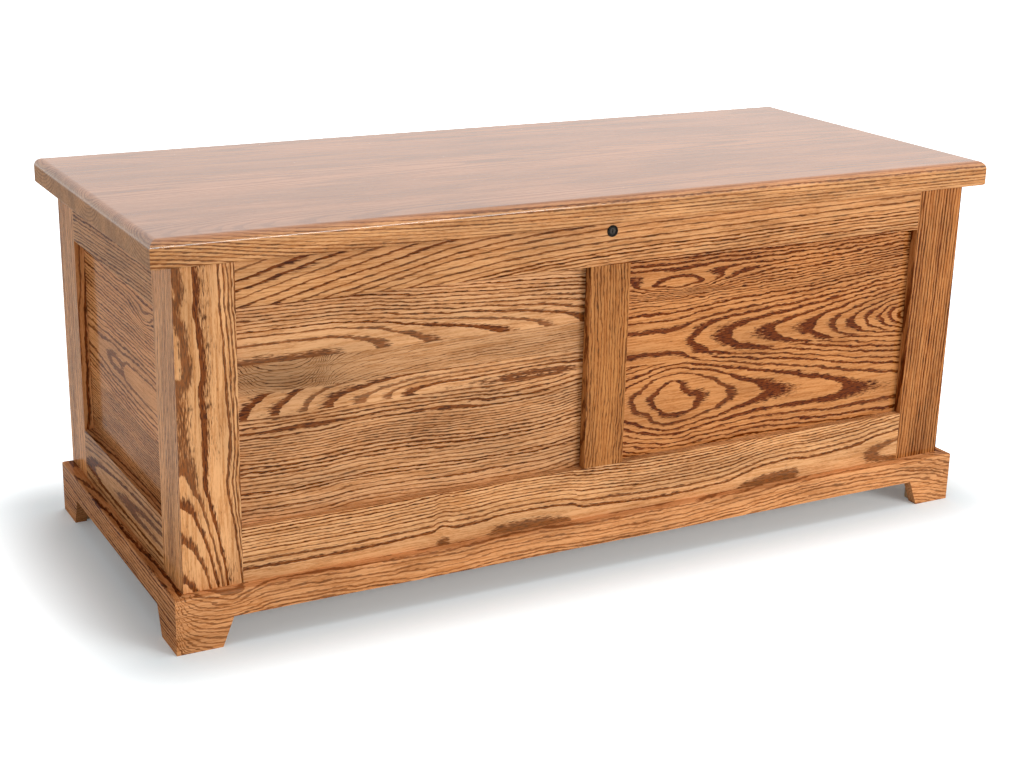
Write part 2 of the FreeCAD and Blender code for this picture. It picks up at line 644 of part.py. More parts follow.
for side, place in HINGE_PLACES:
    left_end = (f"({place} - Dims.hinge_length / 2)", PIN_Y, PIN_Z)
    right_end = (f"({place} + Dims.hinge_length / 2)", PIN_Y, PIN_Z)
    hinge_leaf(f"hinge_{side}_case_leaf", right_end, Z_AXIS, (0, 2, 4))
    hinge_leaf(f"hinge_{side}_lid_leaf", left_end, X_AXIS, (1, 3))

PIN_LOW = "(0 - Dims.knuckle_play)"
PIN_HIGH = "(Dims.hinge_length + Dims.knuckle_play)"
pin = new_body("hinge_pin", keep=False)
shaft = {"Radius": "Dims.pin_radius", "Height": f"{PIN_HIGH} - {PIN_LOW}"}
primitive(pin, "AdditiveCylinder", "shaft", shaft, ("0", "0", PIN_LOW))
tip = {"Radius": "Dims.pin_tip_radius", "Height": "Dims.pin_tip_length"}
primitive(pin, "AdditiveCylinder", "upper_tip", tip, ("0", "0", PIN_HIGH))
primitive(pin, "AdditiveCylinder", "lower_tip", tip, ("0", "0", f"({PIN_LOW} - Dims.pin_tip_length)"))
tip_ends = (value(f"{PIN_LOW} - Dims.pin_tip_length"), value(f"{PIN_HIGH} + Dims.pin_tip_length"))
at_an_end = lambda point: min(abs(point.z - end) for end in tip_ends) < TOUCH
round_edges(pin, "Dims.pin_tip_length / 2", at_an_end)
pin_places = []
for _, place in HINGE_PLACES:
    start = Vector(value(f"{place} - Dims.hinge_length / 2"), value(PIN_Y), value(PIN_Z))
    pin_places.append(Placement(start, Rotation(Y_AXIS, 90)))
group("hinge_pins", pin.Shape, pin_places)


# ---------------------------------------------------------------- screws
# A wood screw is drawn with its head's face at z = 0 and its point above.

screw = new_body("wood_screw", keep=False)
HEAD_DEPTH = "(Dims.screw_head_radius - Dims.screw_radius)"
POINT_START = "(Dims.screw_length - 2 * Dims.screw_radius)"
half_section = [
    ("0", "0"),
    ("Dims.screw_head_radius", "0"),
    ("Dims.screw_radius", HEAD_DEPTH),
    ("Dims.screw_radius", POINT_START),
    ("0", "Dims.screw_length"),
]
half_sketch = new_sketch(screw, "half", "XZ", [half_section])
turned = screw.newObject("PartDesign::Revolution", "wood_screw_turned")
turned.Profile = half_sketch
turned.ReferenceAxis = (half_sketch, ["V_Axis"])
turned.Angle = 360
HALF_SLOT = "(Dims.slot_width / 2)"
SLOTS = (("slot_x", "Dims.slot_reach", HALF_SLOT), ("slot_y", HALF_SLOT, "Dims.slot_reach"))
for name, along, across in SLOTS:
    slot = {"Length": f"2 * {along}", "Width": f"2 * {across}", "Height": "Dims.slot_depth"}
    primitive(screw, "SubtractiveBox", name, slot, (f"(0 - {along})", f"(0 - {across})", "0"))
doc.recompute()

UPSIDE_DOWN = Rotation(X_AXIS, 180)
case_screws = []
lid_screws = []
screw_y = value(f"{BACK_Y} - Dims.hinge_reach / 2")
case_level = value("Dims.lid_underside - Dims.lid_gap")
lid_level = value("Dims.lid_underside")
for _, place in HINGE_PLACES:
    for along in SCREW_PLACES:
        screw_x = value(f"{place} - Dims.hinge_length / 2 + {along}")
        case_screws.append(Placement(Vector(screw_x, screw_y, case_level), UPSIDE_DOWN))
        lid_screws.append(Placement(Vector(screw_x, screw_y, lid_level), Rotation()))
group("hinge_case_screws", screw.Shape, case_screws)
group("hinge_lid_screws", screw.Shape, lid_screws)


# ---------------------------------------------------------------- lock
# The lock is drawn from the face of the front rail: z out of the chest, x along it, y up.

LOCK_AT = ("0", FRONT_Y, LOCK_Z)
NUT_BACK = "(Dims.frame_thickness + Dims.lock_nut_length)"
BODY_BACK = f"({NUT_BACK} + Dims.lock_thread_end)"
CAM_FRONT = f"({BODY_BACK} + Dims.cam_gap)"
CAM_BACK = f"({CAM_FRONT} + Dims.cam_thickness)"
PLUG_FACE = "(Dims.lock_flange_length - Dims.plug_recess)"


def lock_piece(label):
    return new_body(label, LOCK_AT, X_AXIS, 90)


lock_body = lock_piece("lock_body")
barrel = {"Radius": "Dims.lock_body_radius", "Height": BODY_BACK}
flange = {"Radius": "Dims.lock_flange_radius", "Height": "Dims.lock_flange_length"}
primitive(lock_body, "AdditiveCylinder", "barrel", barrel, ("0", "0", f"(0 - {BODY_BACK})"))
primitive(lock_body, "AdditiveCylinder", "flange", flange)
flange_face = value("Dims.lock_flange_length")
round_edges(lock_body, "Dims.lock_flange_length / 2", lambda point: abs(point.z - flange_face) < TOUCH)
bore = {"Radius": "Dims.plug_radius + Dims.plug_play", "Height": f"{BODY_BACK} + Dims.lock_flange_length"}
primitive(lock_body, "SubtractiveCylinder", "bore", bore, ("0", "0", f"(0 - {BODY_BACK})"))

lock_nut = lock_piece("lock_nut")
HALF_FLAT = "(Dims.lock_nut_size / 2)"
nut_sketch = lock_nut.newObject("Sketcher::SketchObject", "lock_nut_hexagon")
nut_sketch.AttachmentSupport = (next(f for f in lock_nut.Origin.OriginFeatures if f.Role == "XY_Plane"), [""])
nut_sketch.MapMode = "FlatFace"
nut_sketch.setExpression("AttachmentOffset.Base.z", f"(0 - {NUT_BACK})")
corner_radius = value(f"{HALF_FLAT} / cos(30)")
hexagon = []
for corner in range(6):
    spoke = Rotation(Z_AXIS, 60 * corner).multVec(Vector(corner_radius, 0, 0))
    hexagon.append(spoke)
for corner in range(6):
    nut_sketch.addGeometry(Part.LineSegment(hexagon[corner], hexagon[(corner + 1) % 6]))
outer_ring = nut_sketch.addGeometry(Part.Circle(Vector(0, 0, 0), Z_AXIS, corner_radius), True)
nut_sketch.addConstraint(Sketcher.Constraint("Coincident", outer_ring, 3, -1, 1))
for corner in range(6):
    nut_sketch.addConstraint(Sketcher.Constraint("Coincident", corner, 2, (corner + 1) % 6, 1))
    nut_sketch.addConstraint(Sketcher.Constraint("PointOnObject", corner, 1, outer_ring))
for corner in range(1, 6):
    nut_sketch.addConstraint(Sketcher.Constraint("Equal", 0, corner))
nut_sketch.addConstraint(Sketcher.Constraint("PointOnObject", 0, 1, -1))
ring_radius = nut_sketch.addConstraint(Sketcher.Constraint("Radius", outer_ring, corner_radius))
nut_sketch.setExpression(f"Constraints[{ring_radius}]", f"{HALF_FLAT} / cos(30)")
pad(nut_sketch, "Dims.lock_nut_length")
nut_bore = {"Radius": "Dims.lock_body_radius + Dims.plug_play", "Height": "Dims.lock_nut_length"}
primitive(lock_nut, "SubtractiveCylinder", "bore", nut_bore, ("0", "0", f"(0 - {NUT_BACK})"))

CAM_LEVEL = f"(0 - {CAM_BACK})"
HALF_TAIL = "(Dims.tail_size / 2)"
lock_plug = lock_piece("lock_plug")
plug = {"Radius": "Dims.plug_radius", "Height": f"{CAM_FRONT} + {PLUG_FACE}"}
tail = {"Length": "Dims.tail_size", "Width": "Dims.tail_size", "Height": "Dims.cam_thickness"}
primitive(lock_plug, "AdditiveCylinder", "plug", plug, ("0", "0", f"(0 - {CAM_FRONT})"))
primitive(lock_plug, "AdditiveBox", "tail", tail, (f"(0 - {HALF_TAIL})", f"(0 - {HALF_TAIL})", CAM_LEVEL))
key_slot = {"Length": "Dims.key_slot_width", "Width": "Dims.key_slot_height", "Height": "Dims.key_slot_depth"}
key_slot_at = (
    "(0 - Dims.key_slot_width / 2)",
    "(0 - Dims.key_slot_height / 2)",
    f"({PLUG_FACE} - Dims.key_slot_depth)",
)
primitive(lock_plug, "SubtractiveBox", "key_slot", key_slot, key_slot_at)
screw_hole = {
    "Radius": "Dims.cam_screw_radius + Dims.plug_play",
    "Height": "Dims.cam_screw_length + Dims.pilot_extra",
}
primitive(lock_plug, "SubtractiveCylinder", "screw_hole", screw_hole, ("0", "0", CAM_LEVEL))

lock_cam = lock_piece("lock_cam")
TIP_CENTRE = "(Dims.cam_reach - Dims.cam_width / 2)"
SQUARE = "(Dims.tail_size + 2 * Dims.cam_play)"
hub = {"Radius": "Dims.cam_hub_radius", "Height": "Dims.cam_thickness"}
arm = {"Length": TIP_CENTRE, "Width": "Dims.cam_width", "Height": "Dims.cam_thickness"}
cam_tip = {"Radius": "Dims.cam_width / 2", "Height": "Dims.cam_thickness"}
square = {"Length": SQUARE, "Width": SQUARE, "Height": "Dims.cam_thickness"}
primitive(lock_cam, "AdditiveCylinder", "hub", hub, ("0", "0", CAM_LEVEL))
primitive(lock_cam, "AdditiveBox", "arm", arm, (f"(0 - {TIP_CENTRE})", "(0 - Dims.cam_width / 2)", CAM_LEVEL))
primitive(lock_cam, "AdditiveCylinder", "tip", cam_tip, (f"(0 - {TIP_CENTRE})", "0", CAM_LEVEL))
square_at = (f"(0 - {SQUARE} / 2)", f"(0 - {SQUARE} / 2)", CAM_LEVEL)
primitive(lock_cam, "SubtractiveBox", "square", square, square_at)

cam_screw = lock_piece("lock_cam_screw")
HEAD_LEVEL = f"(0 - {CAM_BACK} - Dims.cam_head_length)"
shank = {"Radius": "Dims.cam_screw_radius", "Height": "Dims.cam_screw_length"}
head = {"Radius": "Dims.cam_head_radius", "Height": "Dims.cam_head_length"}
primitive(cam_screw, "AdditiveCylinder", "shank", shank, ("0", "0", CAM_LEVEL))
primitive(cam_screw, "AdditiveCylinder", "head", head, ("0", "0", HEAD_LEVEL))
head_face = value(HEAD_LEVEL)
round_edges(cam_screw, "Dims.cam_head_length / 2", lambda point: abs(point.z - head_face) < TOUCH)
slot = {
    "Length": "2 * Dims.cam_head_radius",
    "Width": "Dims.slot_width",
    "Height": "Dims.cam_head_length / 2",
}
slot_at = ("(0 - Dims.cam_head_radius)", "(0 - Dims.slot_width / 2)", HEAD_LEVEL)
primitive(cam_screw, "SubtractiveBox", "slot", slot, slot_at)


# ---------------------------------------------------------------- keeper
# The keeper hangs under the lid: a plate with a leg beside the cam and a foot below the locked cam.

keeper = new_body("lock_keeper", ("0", FRONT_Y, "Dims.lid_underside"))
LEG_X = "(Dims.cam_reach + Dims.keeper_side_gap)"
LEG_OUTER = f"({LEG_X} + Dims.keeper_thickness)"
LEG_FRONT = f"({BODY_BACK} + Dims.knuckle_play)"
FOOT_TOP = "(Dims.lock_drop + Dims.cam_width / 2 + Dims.keeper_clearance)"
LEG_DROP = f"({FOOT_TOP} + Dims.keeper_thickness)"
plate = {
    "Length": "Dims.keeper_plate_length",
    "Width": "Dims.keeper_plate_width",
    "Height": "Dims.keeper_thickness",
}
leg = {"Length": "Dims.keeper_thickness", "Width": "Dims.keeper_width", "Height": LEG_DROP}
foot = {"Length": "Dims.keeper_hook", "Width": "Dims.keeper_width", "Height": "Dims.keeper_thickness"}
foot_at = (f"({LEG_OUTER} - Dims.keeper_hook)", LEG_FRONT, f"(0 - {LEG_DROP})")
PLATE_LEVEL = "(0 - Dims.keeper_thickness)"
primitive(keeper, "AdditiveBox", "plate", plate, (LEG_X, LEG_FRONT, PLATE_LEVEL))
primitive(keeper, "AdditiveBox", "leg", leg, (LEG_X, LEG_FRONT, f"(0 - {LEG_DROP})"))
primitive(keeper, "AdditiveBox", "foot", foot, foot_at)
KEEPER_SCREW_Y = f"({LEG_FRONT} + Dims.keeper_plate_width / 2)"
KEEPER_SCREWS = (
    f"({LEG_X} + Dims.keeper_screw_inset)",
    f"({LEG_X} + Dims.keeper_plate_length - Dims.keeper_screw_inset)",
)
keeper_circles = [(x, KEEPER_SCREW_Y, PILOT_RADIUS) for x in KEEPER_SCREWS]
keeper_holes_sketch = new_sketch(keeper, "screws", "XY", circles=keeper_circles, offset=PLATE_LEVEL)
doc.recompute()
keeper_volume = keeper.Shape.Volume
keeper_holes = keeper.newObject("PartDesign::Hole", "lock_keeper_holes")
keeper_holes.Profile = keeper_holes_sketch
doc.recompute()
keeper_holes.Reversed = True
keeper_holes.DepthType = "ThroughAll"
keeper_holes.HoleCutType = "Countersink"
keeper_holes.HoleCutCountersinkAngle = 90
keeper_holes.setExpression("Diameter", "2 * (Dims.screw_radius + Dims.screw_play)")
keeper_holes.setExpression("HoleCutDiameter", "2 * (Dims.screw_head_radius + Dims.screw_play)")
doc.recompute()
if not keeper.Shape.Volume < keeper_volume:
    raise RuntimeError("the keeper's screw holes cut nothing")

keeper_pilots = []
for x in KEEPER_SCREWS:
    along_lid = f"(Dims.lid_length / 2 + {x})"
    keeper_pilots.append((along_lid, f"(Dims.front_overhang + {KEEPER_SCREW_Y})", PILOT_RADIUS))
pocket(new_sketch(lid, "keeper_pilots", "XY", circles=keeper_pilots), PILOT_DEPTH, reverse=True)
keeper_screws = []
keeper_screw_y = value(f"{FRONT_Y} + {KEEPER_SCREW_Y}")
keeper_screw_level = value("Dims.lid_underside - Dims.keeper_thickness")
for x in KEEPER_SCREWS:
    keeper_screws.append(Placement(Vector(value(x), keeper_screw_y, keeper_screw_level), Rotation()))
group("keeper_screws", screw.Shape, keeper_screws)


# ---------------------------------------------------------------- lid bumpers

bumper = new_body("bumper", keep=False)
primitive(bumper, "AdditiveCylinder", "pad", {"Radius": "Dims.bumper_radius", "Height": "Dims.lid_gap"})
doc.recompute()
bumper_x = value(f"{CASE_WIDTH} / 2 - Dims.stile_width / 2")
bumper_y = value(f"{FRONT_Y} + Dims.frame_thickness / 2")
bumper_z = value("Dims.lid_underside - Dims.lid_gap")
bumper_places = [Placement(Vector(x, bumper_y, bumper_z), Rotation()) for x in (-bumper_x, bumper_x)]
group("lid_bumpers", bumper.Shape, bumper_places)


# ---------------------------------------------------------------- check and write

doc.recompute()
for item in doc.Objects:
    if "Invalid" in item.State or "Error" in item.State:
        raise RuntimeError(f"{item.Name} is {item.State}")

os.makedirs("parts", exist_ok=True)
for node in nodes:
    if node.Shape.isNull() or not node.Shape.isValid() or not node.Shape.Solids:
        raise RuntimeError(f"{node.Label} has no valid solid")
    node.Shape.exportStep(f"parts/{node.Label}.step")
print(len(nodes), "nodes")
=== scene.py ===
import json
import math
import random

import bpy
from mathutils import Matrix, Vector

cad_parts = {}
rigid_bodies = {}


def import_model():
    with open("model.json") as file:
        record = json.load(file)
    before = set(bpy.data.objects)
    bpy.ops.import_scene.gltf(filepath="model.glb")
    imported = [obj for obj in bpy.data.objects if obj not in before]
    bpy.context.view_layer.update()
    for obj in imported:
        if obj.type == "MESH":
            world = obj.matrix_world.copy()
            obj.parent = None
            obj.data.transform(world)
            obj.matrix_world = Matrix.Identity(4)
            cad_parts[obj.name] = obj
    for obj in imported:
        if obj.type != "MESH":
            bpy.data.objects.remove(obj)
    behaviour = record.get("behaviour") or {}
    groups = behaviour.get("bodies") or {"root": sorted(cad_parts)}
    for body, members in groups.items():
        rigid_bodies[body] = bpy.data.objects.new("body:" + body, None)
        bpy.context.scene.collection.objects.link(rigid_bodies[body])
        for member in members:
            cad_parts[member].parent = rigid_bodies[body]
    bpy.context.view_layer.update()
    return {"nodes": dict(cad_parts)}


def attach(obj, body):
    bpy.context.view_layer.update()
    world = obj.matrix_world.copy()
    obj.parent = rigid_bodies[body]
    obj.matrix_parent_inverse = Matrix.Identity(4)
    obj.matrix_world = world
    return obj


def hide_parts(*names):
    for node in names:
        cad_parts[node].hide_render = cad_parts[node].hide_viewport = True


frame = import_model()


# ---------------------------------------------------------------- the room
# A pale floor that runs back without an edge. A large soft lamp stands in front at the right, and beside
# it a narrow one that draws a thin line along the lid's rounded edge. A third hangs overhead, and two low
# ones stand behind and at the left.

scene = bpy.context.scene
scene.view_settings.view_transform = "Standard"
START_SCENE = ("Cube", "Light", "Camera")
for spare in [thing for thing in scene.objects if thing.name in START_SCENE]:
    bpy.data.objects.remove(spare)

EYE = Vector((-1.0179, -1.8597, 0.8581))
EYE_RIGHT = Vector((0.88131951, -0.47201389, 0.02188163))
EYE_UP = Vector((0.12949828, 0.28580915, 0.94949635))
EYE_FORWARD = Vector((0.45442944, 0.83397603, -0.31301417))
camera_data = bpy.data.cameras.new("room_camera")
camera_data.sensor_width = 36
camera_data.lens = 62.116
camera = bpy.data.objects.new("room_camera", camera_data)
turn = Matrix((EYE_RIGHT, EYE_UP, -EYE_FORWARD)).transposed()
camera.matrix_world = Matrix.Translation(EYE) @ turn.to_4x4()
scene.collection.objects.link(camera)
scene.camera = camera


def lamp(name, at, target, size, power, colour, mirrored=False):
    """A soft rectangular lamp that faces its target. Lacquer and metal show it only if it is mirrored."""
    data = bpy.data.lights.new(name, "AREA")
    data.shape = "RECTANGLE"
    data.size, data.size_y = size
    data.energy = power
    data.color = colour
    made = bpy.data.objects.new(name, data)
    made.location = at
    made.rotation_euler = (Vector(target) - Vector(at)).to_track_quat("-Z", "Y").to_euler()
    made.visible_glossy = mirrored
    scene.collection.objects.link(made)


lamp("key_lamp", at=(1.7, -3.0, 1.3), target=(0, 0, 0.2), size=(1.5, 1.0), power=55,
     colour=(1.0, 0.985, 0.96))
lamp("edge_lamp", at=(0.9, -3.3, 1.15), target=(0, 0, 0.4), size=(1.5, 0.30), power=26,
     colour=(1.0, 0.99, 0.97), mirrored=True)
lamp("top_lamp", at=(0.3, 0.15, 3.0), target=(0.05, 0, 0.4), size=(2.6, 1.4), power=49,
     colour=(1.0, 1.0, 1.0))
lamp("back_lamp", at=(1.5, 3.0, 0.42), target=(0, 0, 0.2), size=(1.8, 0.5), power=28,
     colour=(1.0, 0.99, 0.98))
lamp("side_lamp", at=(-3.0, -0.7, 0.9), target=(-0.5, 0, 0.25), size=(1.2, 1.4), power=9,
     colour=(1.0, 0.985, 0.96))

world = bpy.data.worlds.new("room_air")
world.use_nodes = True
scene.world = world
air = world.node_tree
air.nodes.clear()


def seen_rays(tree):
    """One for rays from the camera and for rays that a mirror or glass sends on, else nothing."""
    rays = tree.nodes.new("ShaderNodeLightPath")
    total = rays.outputs["Is Camera Ray"]
    for kind in ("Is Glossy Ray", "Is Transmission Ray"):
        most = tree.nodes.new("ShaderNodeMath")
        most.operation = "MAXIMUM"
        tree.links.new(total, most.inputs[0])
        tree.links.new(rays.outputs[kind], most.inputs[1])
        total = most.outputs[0]
    return total


AIR_LIGHT = 0.36
WHITE = (1, 1, 1, 1)
soft = air.nodes.new("ShaderNodeBackground")
soft.inputs["Color"].default_value = (1, 0.985, 0.97, 1)
soft.inputs["Strength"].default_value = AIR_LIGHT
bright = air.nodes.new("ShaderNodeBackground")
bright.inputs["Color"].default_value = WHITE
bright.inputs["Strength"].default_value = 1.0
either = air.nodes.new("ShaderNodeMixShader")
air.links.new(seen_rays(air), either.inputs["Fac"])
air.links.new(soft.outputs[0], either.inputs[1])
air.links.new(bright.outputs[0], either.inputs[2])
out = air.nodes.new("ShaderNodeOutputWorld")
air.links.new(either.outputs[0], out.inputs["Surface"])

# The camera sees the floor glow white, but round the chest, within GLOW_FROM of its plan, the glow sinks
# to GLOW_UNDER: a painted shade round the chest, in which its real shadow also shows.
FLOOR_REACH = 12
FLOOR_COLOUR = (0.775, 0.85, 0.89, 1)
CHEST_PLAN = (0.52, 0.23, 0)
GLOW_FROM = 0.20
GLOW_UNDER = 0.115
floor_mesh = bpy.data.meshes.new("room_floor")
floor_mesh.from_pydata(
    [(-FLOOR_REACH, -FLOOR_REACH, 0), (FLOOR_REACH, -FLOOR_REACH, 0),
     (FLOOR_REACH, FLOOR_REACH, 0), (-FLOOR_REACH, FLOOR_REACH, 0)], [], [(0, 1, 2, 3)])
room_floor = bpy.data.objects.new("room_floor", floor_mesh)
scene.collection.objects.link(room_floor)
floor_paint = bpy.data.materials.new("floor_paint")
floor_paint.use_nodes = True
paint = floor_paint.node_tree
paint.nodes.clear()
matt = paint.nodes.new("ShaderNodeBsdfDiffuse")
matt.inputs["Color"].default_value = FLOOR_COLOUR
glow = paint.nodes.new("ShaderNodeEmission")
glow.inputs["Color"].default_value = WHITE
spot_on_floor = paint.nodes.new("ShaderNodeTexCoord")
mirrored = paint.nodes.new("ShaderNodeVectorMath")
mirrored.operation = "ABSOLUTE"
paint.links.new(spot_on_floor.outputs["Object"], mirrored.inputs[0])
outside = paint.nodes.new("ShaderNodeVectorMath")
outside.operation = "SUBTRACT"
outside.inputs[1].default_value = CHEST_PLAN
paint.links.new(mirrored.outputs[0], outside.inputs[0])
gap = paint.nodes.new("ShaderNodeVectorMath")
gap.operation = "MAXIMUM"
paint.links.new(outside.outputs[0], gap.inputs[0])
from_chest = paint.nodes.new("ShaderNodeVectorMath")
from_chest.operation = "LENGTH"
paint.links.new(gap.outputs[0], from_chest.inputs[0])
# The glow dims towards the chest's plan: painted shade.
painted_shade_fade = paint.nodes.new("ShaderNodeMapRange")
painted_shade_fade.interpolation_type = "SMOOTHSTEP"
for entry, value in (("From Min", 0.0), ("From Max", GLOW_FROM), ("To Min", GLOW_UNDER), ("To Max", 1.0)):
    painted_shade_fade.inputs[entry].default_value = value
paint.links.new(from_chest.outputs["Value"], painted_shade_fade.inputs["Value"])
lift = paint.nodes.new("ShaderNodeMath")
lift.operation = "MULTIPLY"
paint.links.new(seen_rays(paint), lift.inputs[0])
paint.links.new(painted_shade_fade.outputs["Result"], lift.inputs[1])
paint.links.new(lift.outputs[0], glow.inputs["Strength"])
both = paint.nodes.new("ShaderNodeAddShader")
paint.links.new(matt.outputs[0], both.inputs[0])
paint.links.new(glow.outputs[0], both.inputs[1])
out = paint.nodes.new("ShaderNodeOutputMaterial")
paint.links.new(both.outputs[0], out.inputs["Surface"])
floor_mesh.materials.append(floor_paint)


# ---------------------------------------------------------------- front frame
# Two stiles, a centre muntin and two rails of stained red oak, 22 mm thick, grooved for the panels,
# stub-tenoned together and glued. The faces are sanded, stained and finished in satin lacquer.

MM_PER_METRE = 1000.0
LEAST_SPAN = 1e-6


class Signal:
    """One output of a node. Sums and products of signals add Math nodes."""

    def __init__(self, tree, socket):
        self.tree = tree
        self.socket = socket

    def math(self, operation, *others):
        node = self.tree.nodes.new("ShaderNodeMath")
        node.operation = operation
        for entry, given in zip(node.inputs, (self,) + others):
            plug(self.tree, entry, given)
        return Signal(self.tree, node.outputs[0])

    def output(self, name):
        """Another output of the same node."""
        return Signal(self.tree, self.socket.node.outputs[name])

    def __add__(self, other):
        return self.math("ADD", other)

    def __mul__(self, other):
        return self.math("MULTIPLY", other)

    def __sub__(self, other):
        return self.math("SUBTRACT", other)

    def __rsub__(self, other):
        return (self * -1.0) + other

    __radd__ = __add__
    __rmul__ = __mul__


def plug(tree, entry, given):
    """Gives a socket a link, or its own value. A colour's alpha may be left out."""
    if isinstance(given, Signal):
        tree.links.new(given.socket, entry)
    elif isinstance(given, tuple) and len(given) == 3 and len(entry.default_value) == 4:
        entry.default_value = (*given, 1.0)
    else:
        entry.default_value = given


def draw_line(node, places, handles):
    """Gives a Float Curve node its points."""
    line = node.mapping.curves[0]
    while len(line.points) < len(places):
        line.points.new(0.5, 0.5)
    for point, (x, y) in zip(line.points, places):
        point.location = (x, y)
        point.handle_type = handles
    node.mapping.update()


class Finish:
    """A material under construction."""

    def __init__(self, name):
        self.material = bpy.data.materials.new(name)
        self.material.use_nodes = True
        self.tree = self.material.node_tree
        self.tree.nodes.clear()

    def node(self, kind, settings=None, values=None, output=0):
        """Adds a node: its settings first, then the values or links of its sockets."""
        made = self.tree.nodes.new("ShaderNode" + kind)
        for name, setting in (settings or {}).items():
            if name == "curve":
                draw_line(made, *setting)
            else:
                setattr(made, name, setting)
        for name, given in (values or {}).items():
            plug(self.tree, made.inputs[name], given)
        return Signal(self.tree, made.outputs[output]) if made.outputs else None

    def mix(self, share, first, second):
        """A colour between two colours."""
        return self.node("Mix", {"data_type": "RGBA"}, {0: share, 6: first, 7: second}, 2)

    def fade(self, signal, start, end, low=0.0, high=1.0):
        """A smooth step from low to high as the signal goes from start to end."""
        return self.node("MapRange", {"interpolation_type": "SMOOTHSTEP"},
                         {0: signal, 1: start, 2: end, 3: low, 4: high})

    def trace(self, signal, points, handles="AUTO_CLAMPED"):
        """A line through (position, value) points, read at the signal."""
        lowest = min(y for _, y in points)
        span = max(max(y for _, y in points) - lowest, LEAST_SPAN)
        first, last = points[0][0], points[-1][0]
        scaled = [((x - first) / (last - first), (y - lowest) / span) for x, y in points]
        place = self.node("MapRange", {}, {0: signal, 1: first, 2: last, 3: 0.0, 4: 1.0})
        line = self.node("FloatCurve", {"curve": (scaled, handles)}, {"Value": place})
        return line.math("MULTIPLY_ADD", span, lowest)

    def noise(self, place, grain, detail=2.0, roughness=0.55, seed=0.0):
        """Noise whose blotches have the given lengths along the board's three directions."""
        scaled = self.node("Mapping", {}, {"Vector": place, "Location": (seed, seed * 0.7, seed * 0.3),
                                           "Scale": tuple(1.0 / g for g in grain)})
        return self.node("TexNoise", {}, {"Vector": scaled, "Scale": 1.0, "Detail": detail,
                                          "Roughness": roughness})

    def board_space(self, origin, along, across):
        """Object coordinates turned to a board's own, in mm: along the grain, across it, into the wood."""
        rows = Matrix((Vector(along), Vector(across), Vector(along).cross(Vector(across))))
        shift = -(rows @ Vector(origin))
        place = self.node("TexCoord", {}, {}, "Object")
        return self.node("Mapping", {}, {"Vector": place, "Location": tuple(shift),
                                         "Rotation": tuple(rows.to_euler("XYZ")),
                                         "Scale": (MM_PER_METRE, MM_PER_METRE, MM_PER_METRE)})

    def surface(self, **values):
        """The shader at the end of the tree."""
        entries = {name.replace("_", " "): given for name, given in values.items()}
        shader = self.node("BsdfPrincipled", {}, entries)
        self.node("OutputMaterial", {}, {"Surface": shader})
        return self.material


OAK_PALE = (0.665, 0.345, 0.158)
OAK_TAN = (0.49, 0.212, 0.076)
OAK_BROWN = (0.185, 0.044, 0.005)
OAK_DARK = (0.055, 0.012, 0.002)
# In a ring wider than WIDE_RING mm, the early wood keeps the width it has in a ring of that width.
WIDE_RING = 4.8
EARLY_END = 0.7
# The early wood takes up EARLY_LEAST of a ring, and by luck up to EARLY_MORE beyond it.
EARLY_LEAST = 0.32
EARLY_MORE = 0.24
# The pores fray a ring's edge by up to FRAY of a ring, and FRAY_START shifts the rings back for it.
FRAY = 0.22
FRAY_START = 0.17
# Glued boards count their rings from starts this far apart.
BOARD_STEP = 37.0
KNOT_DEPTH = 60.0


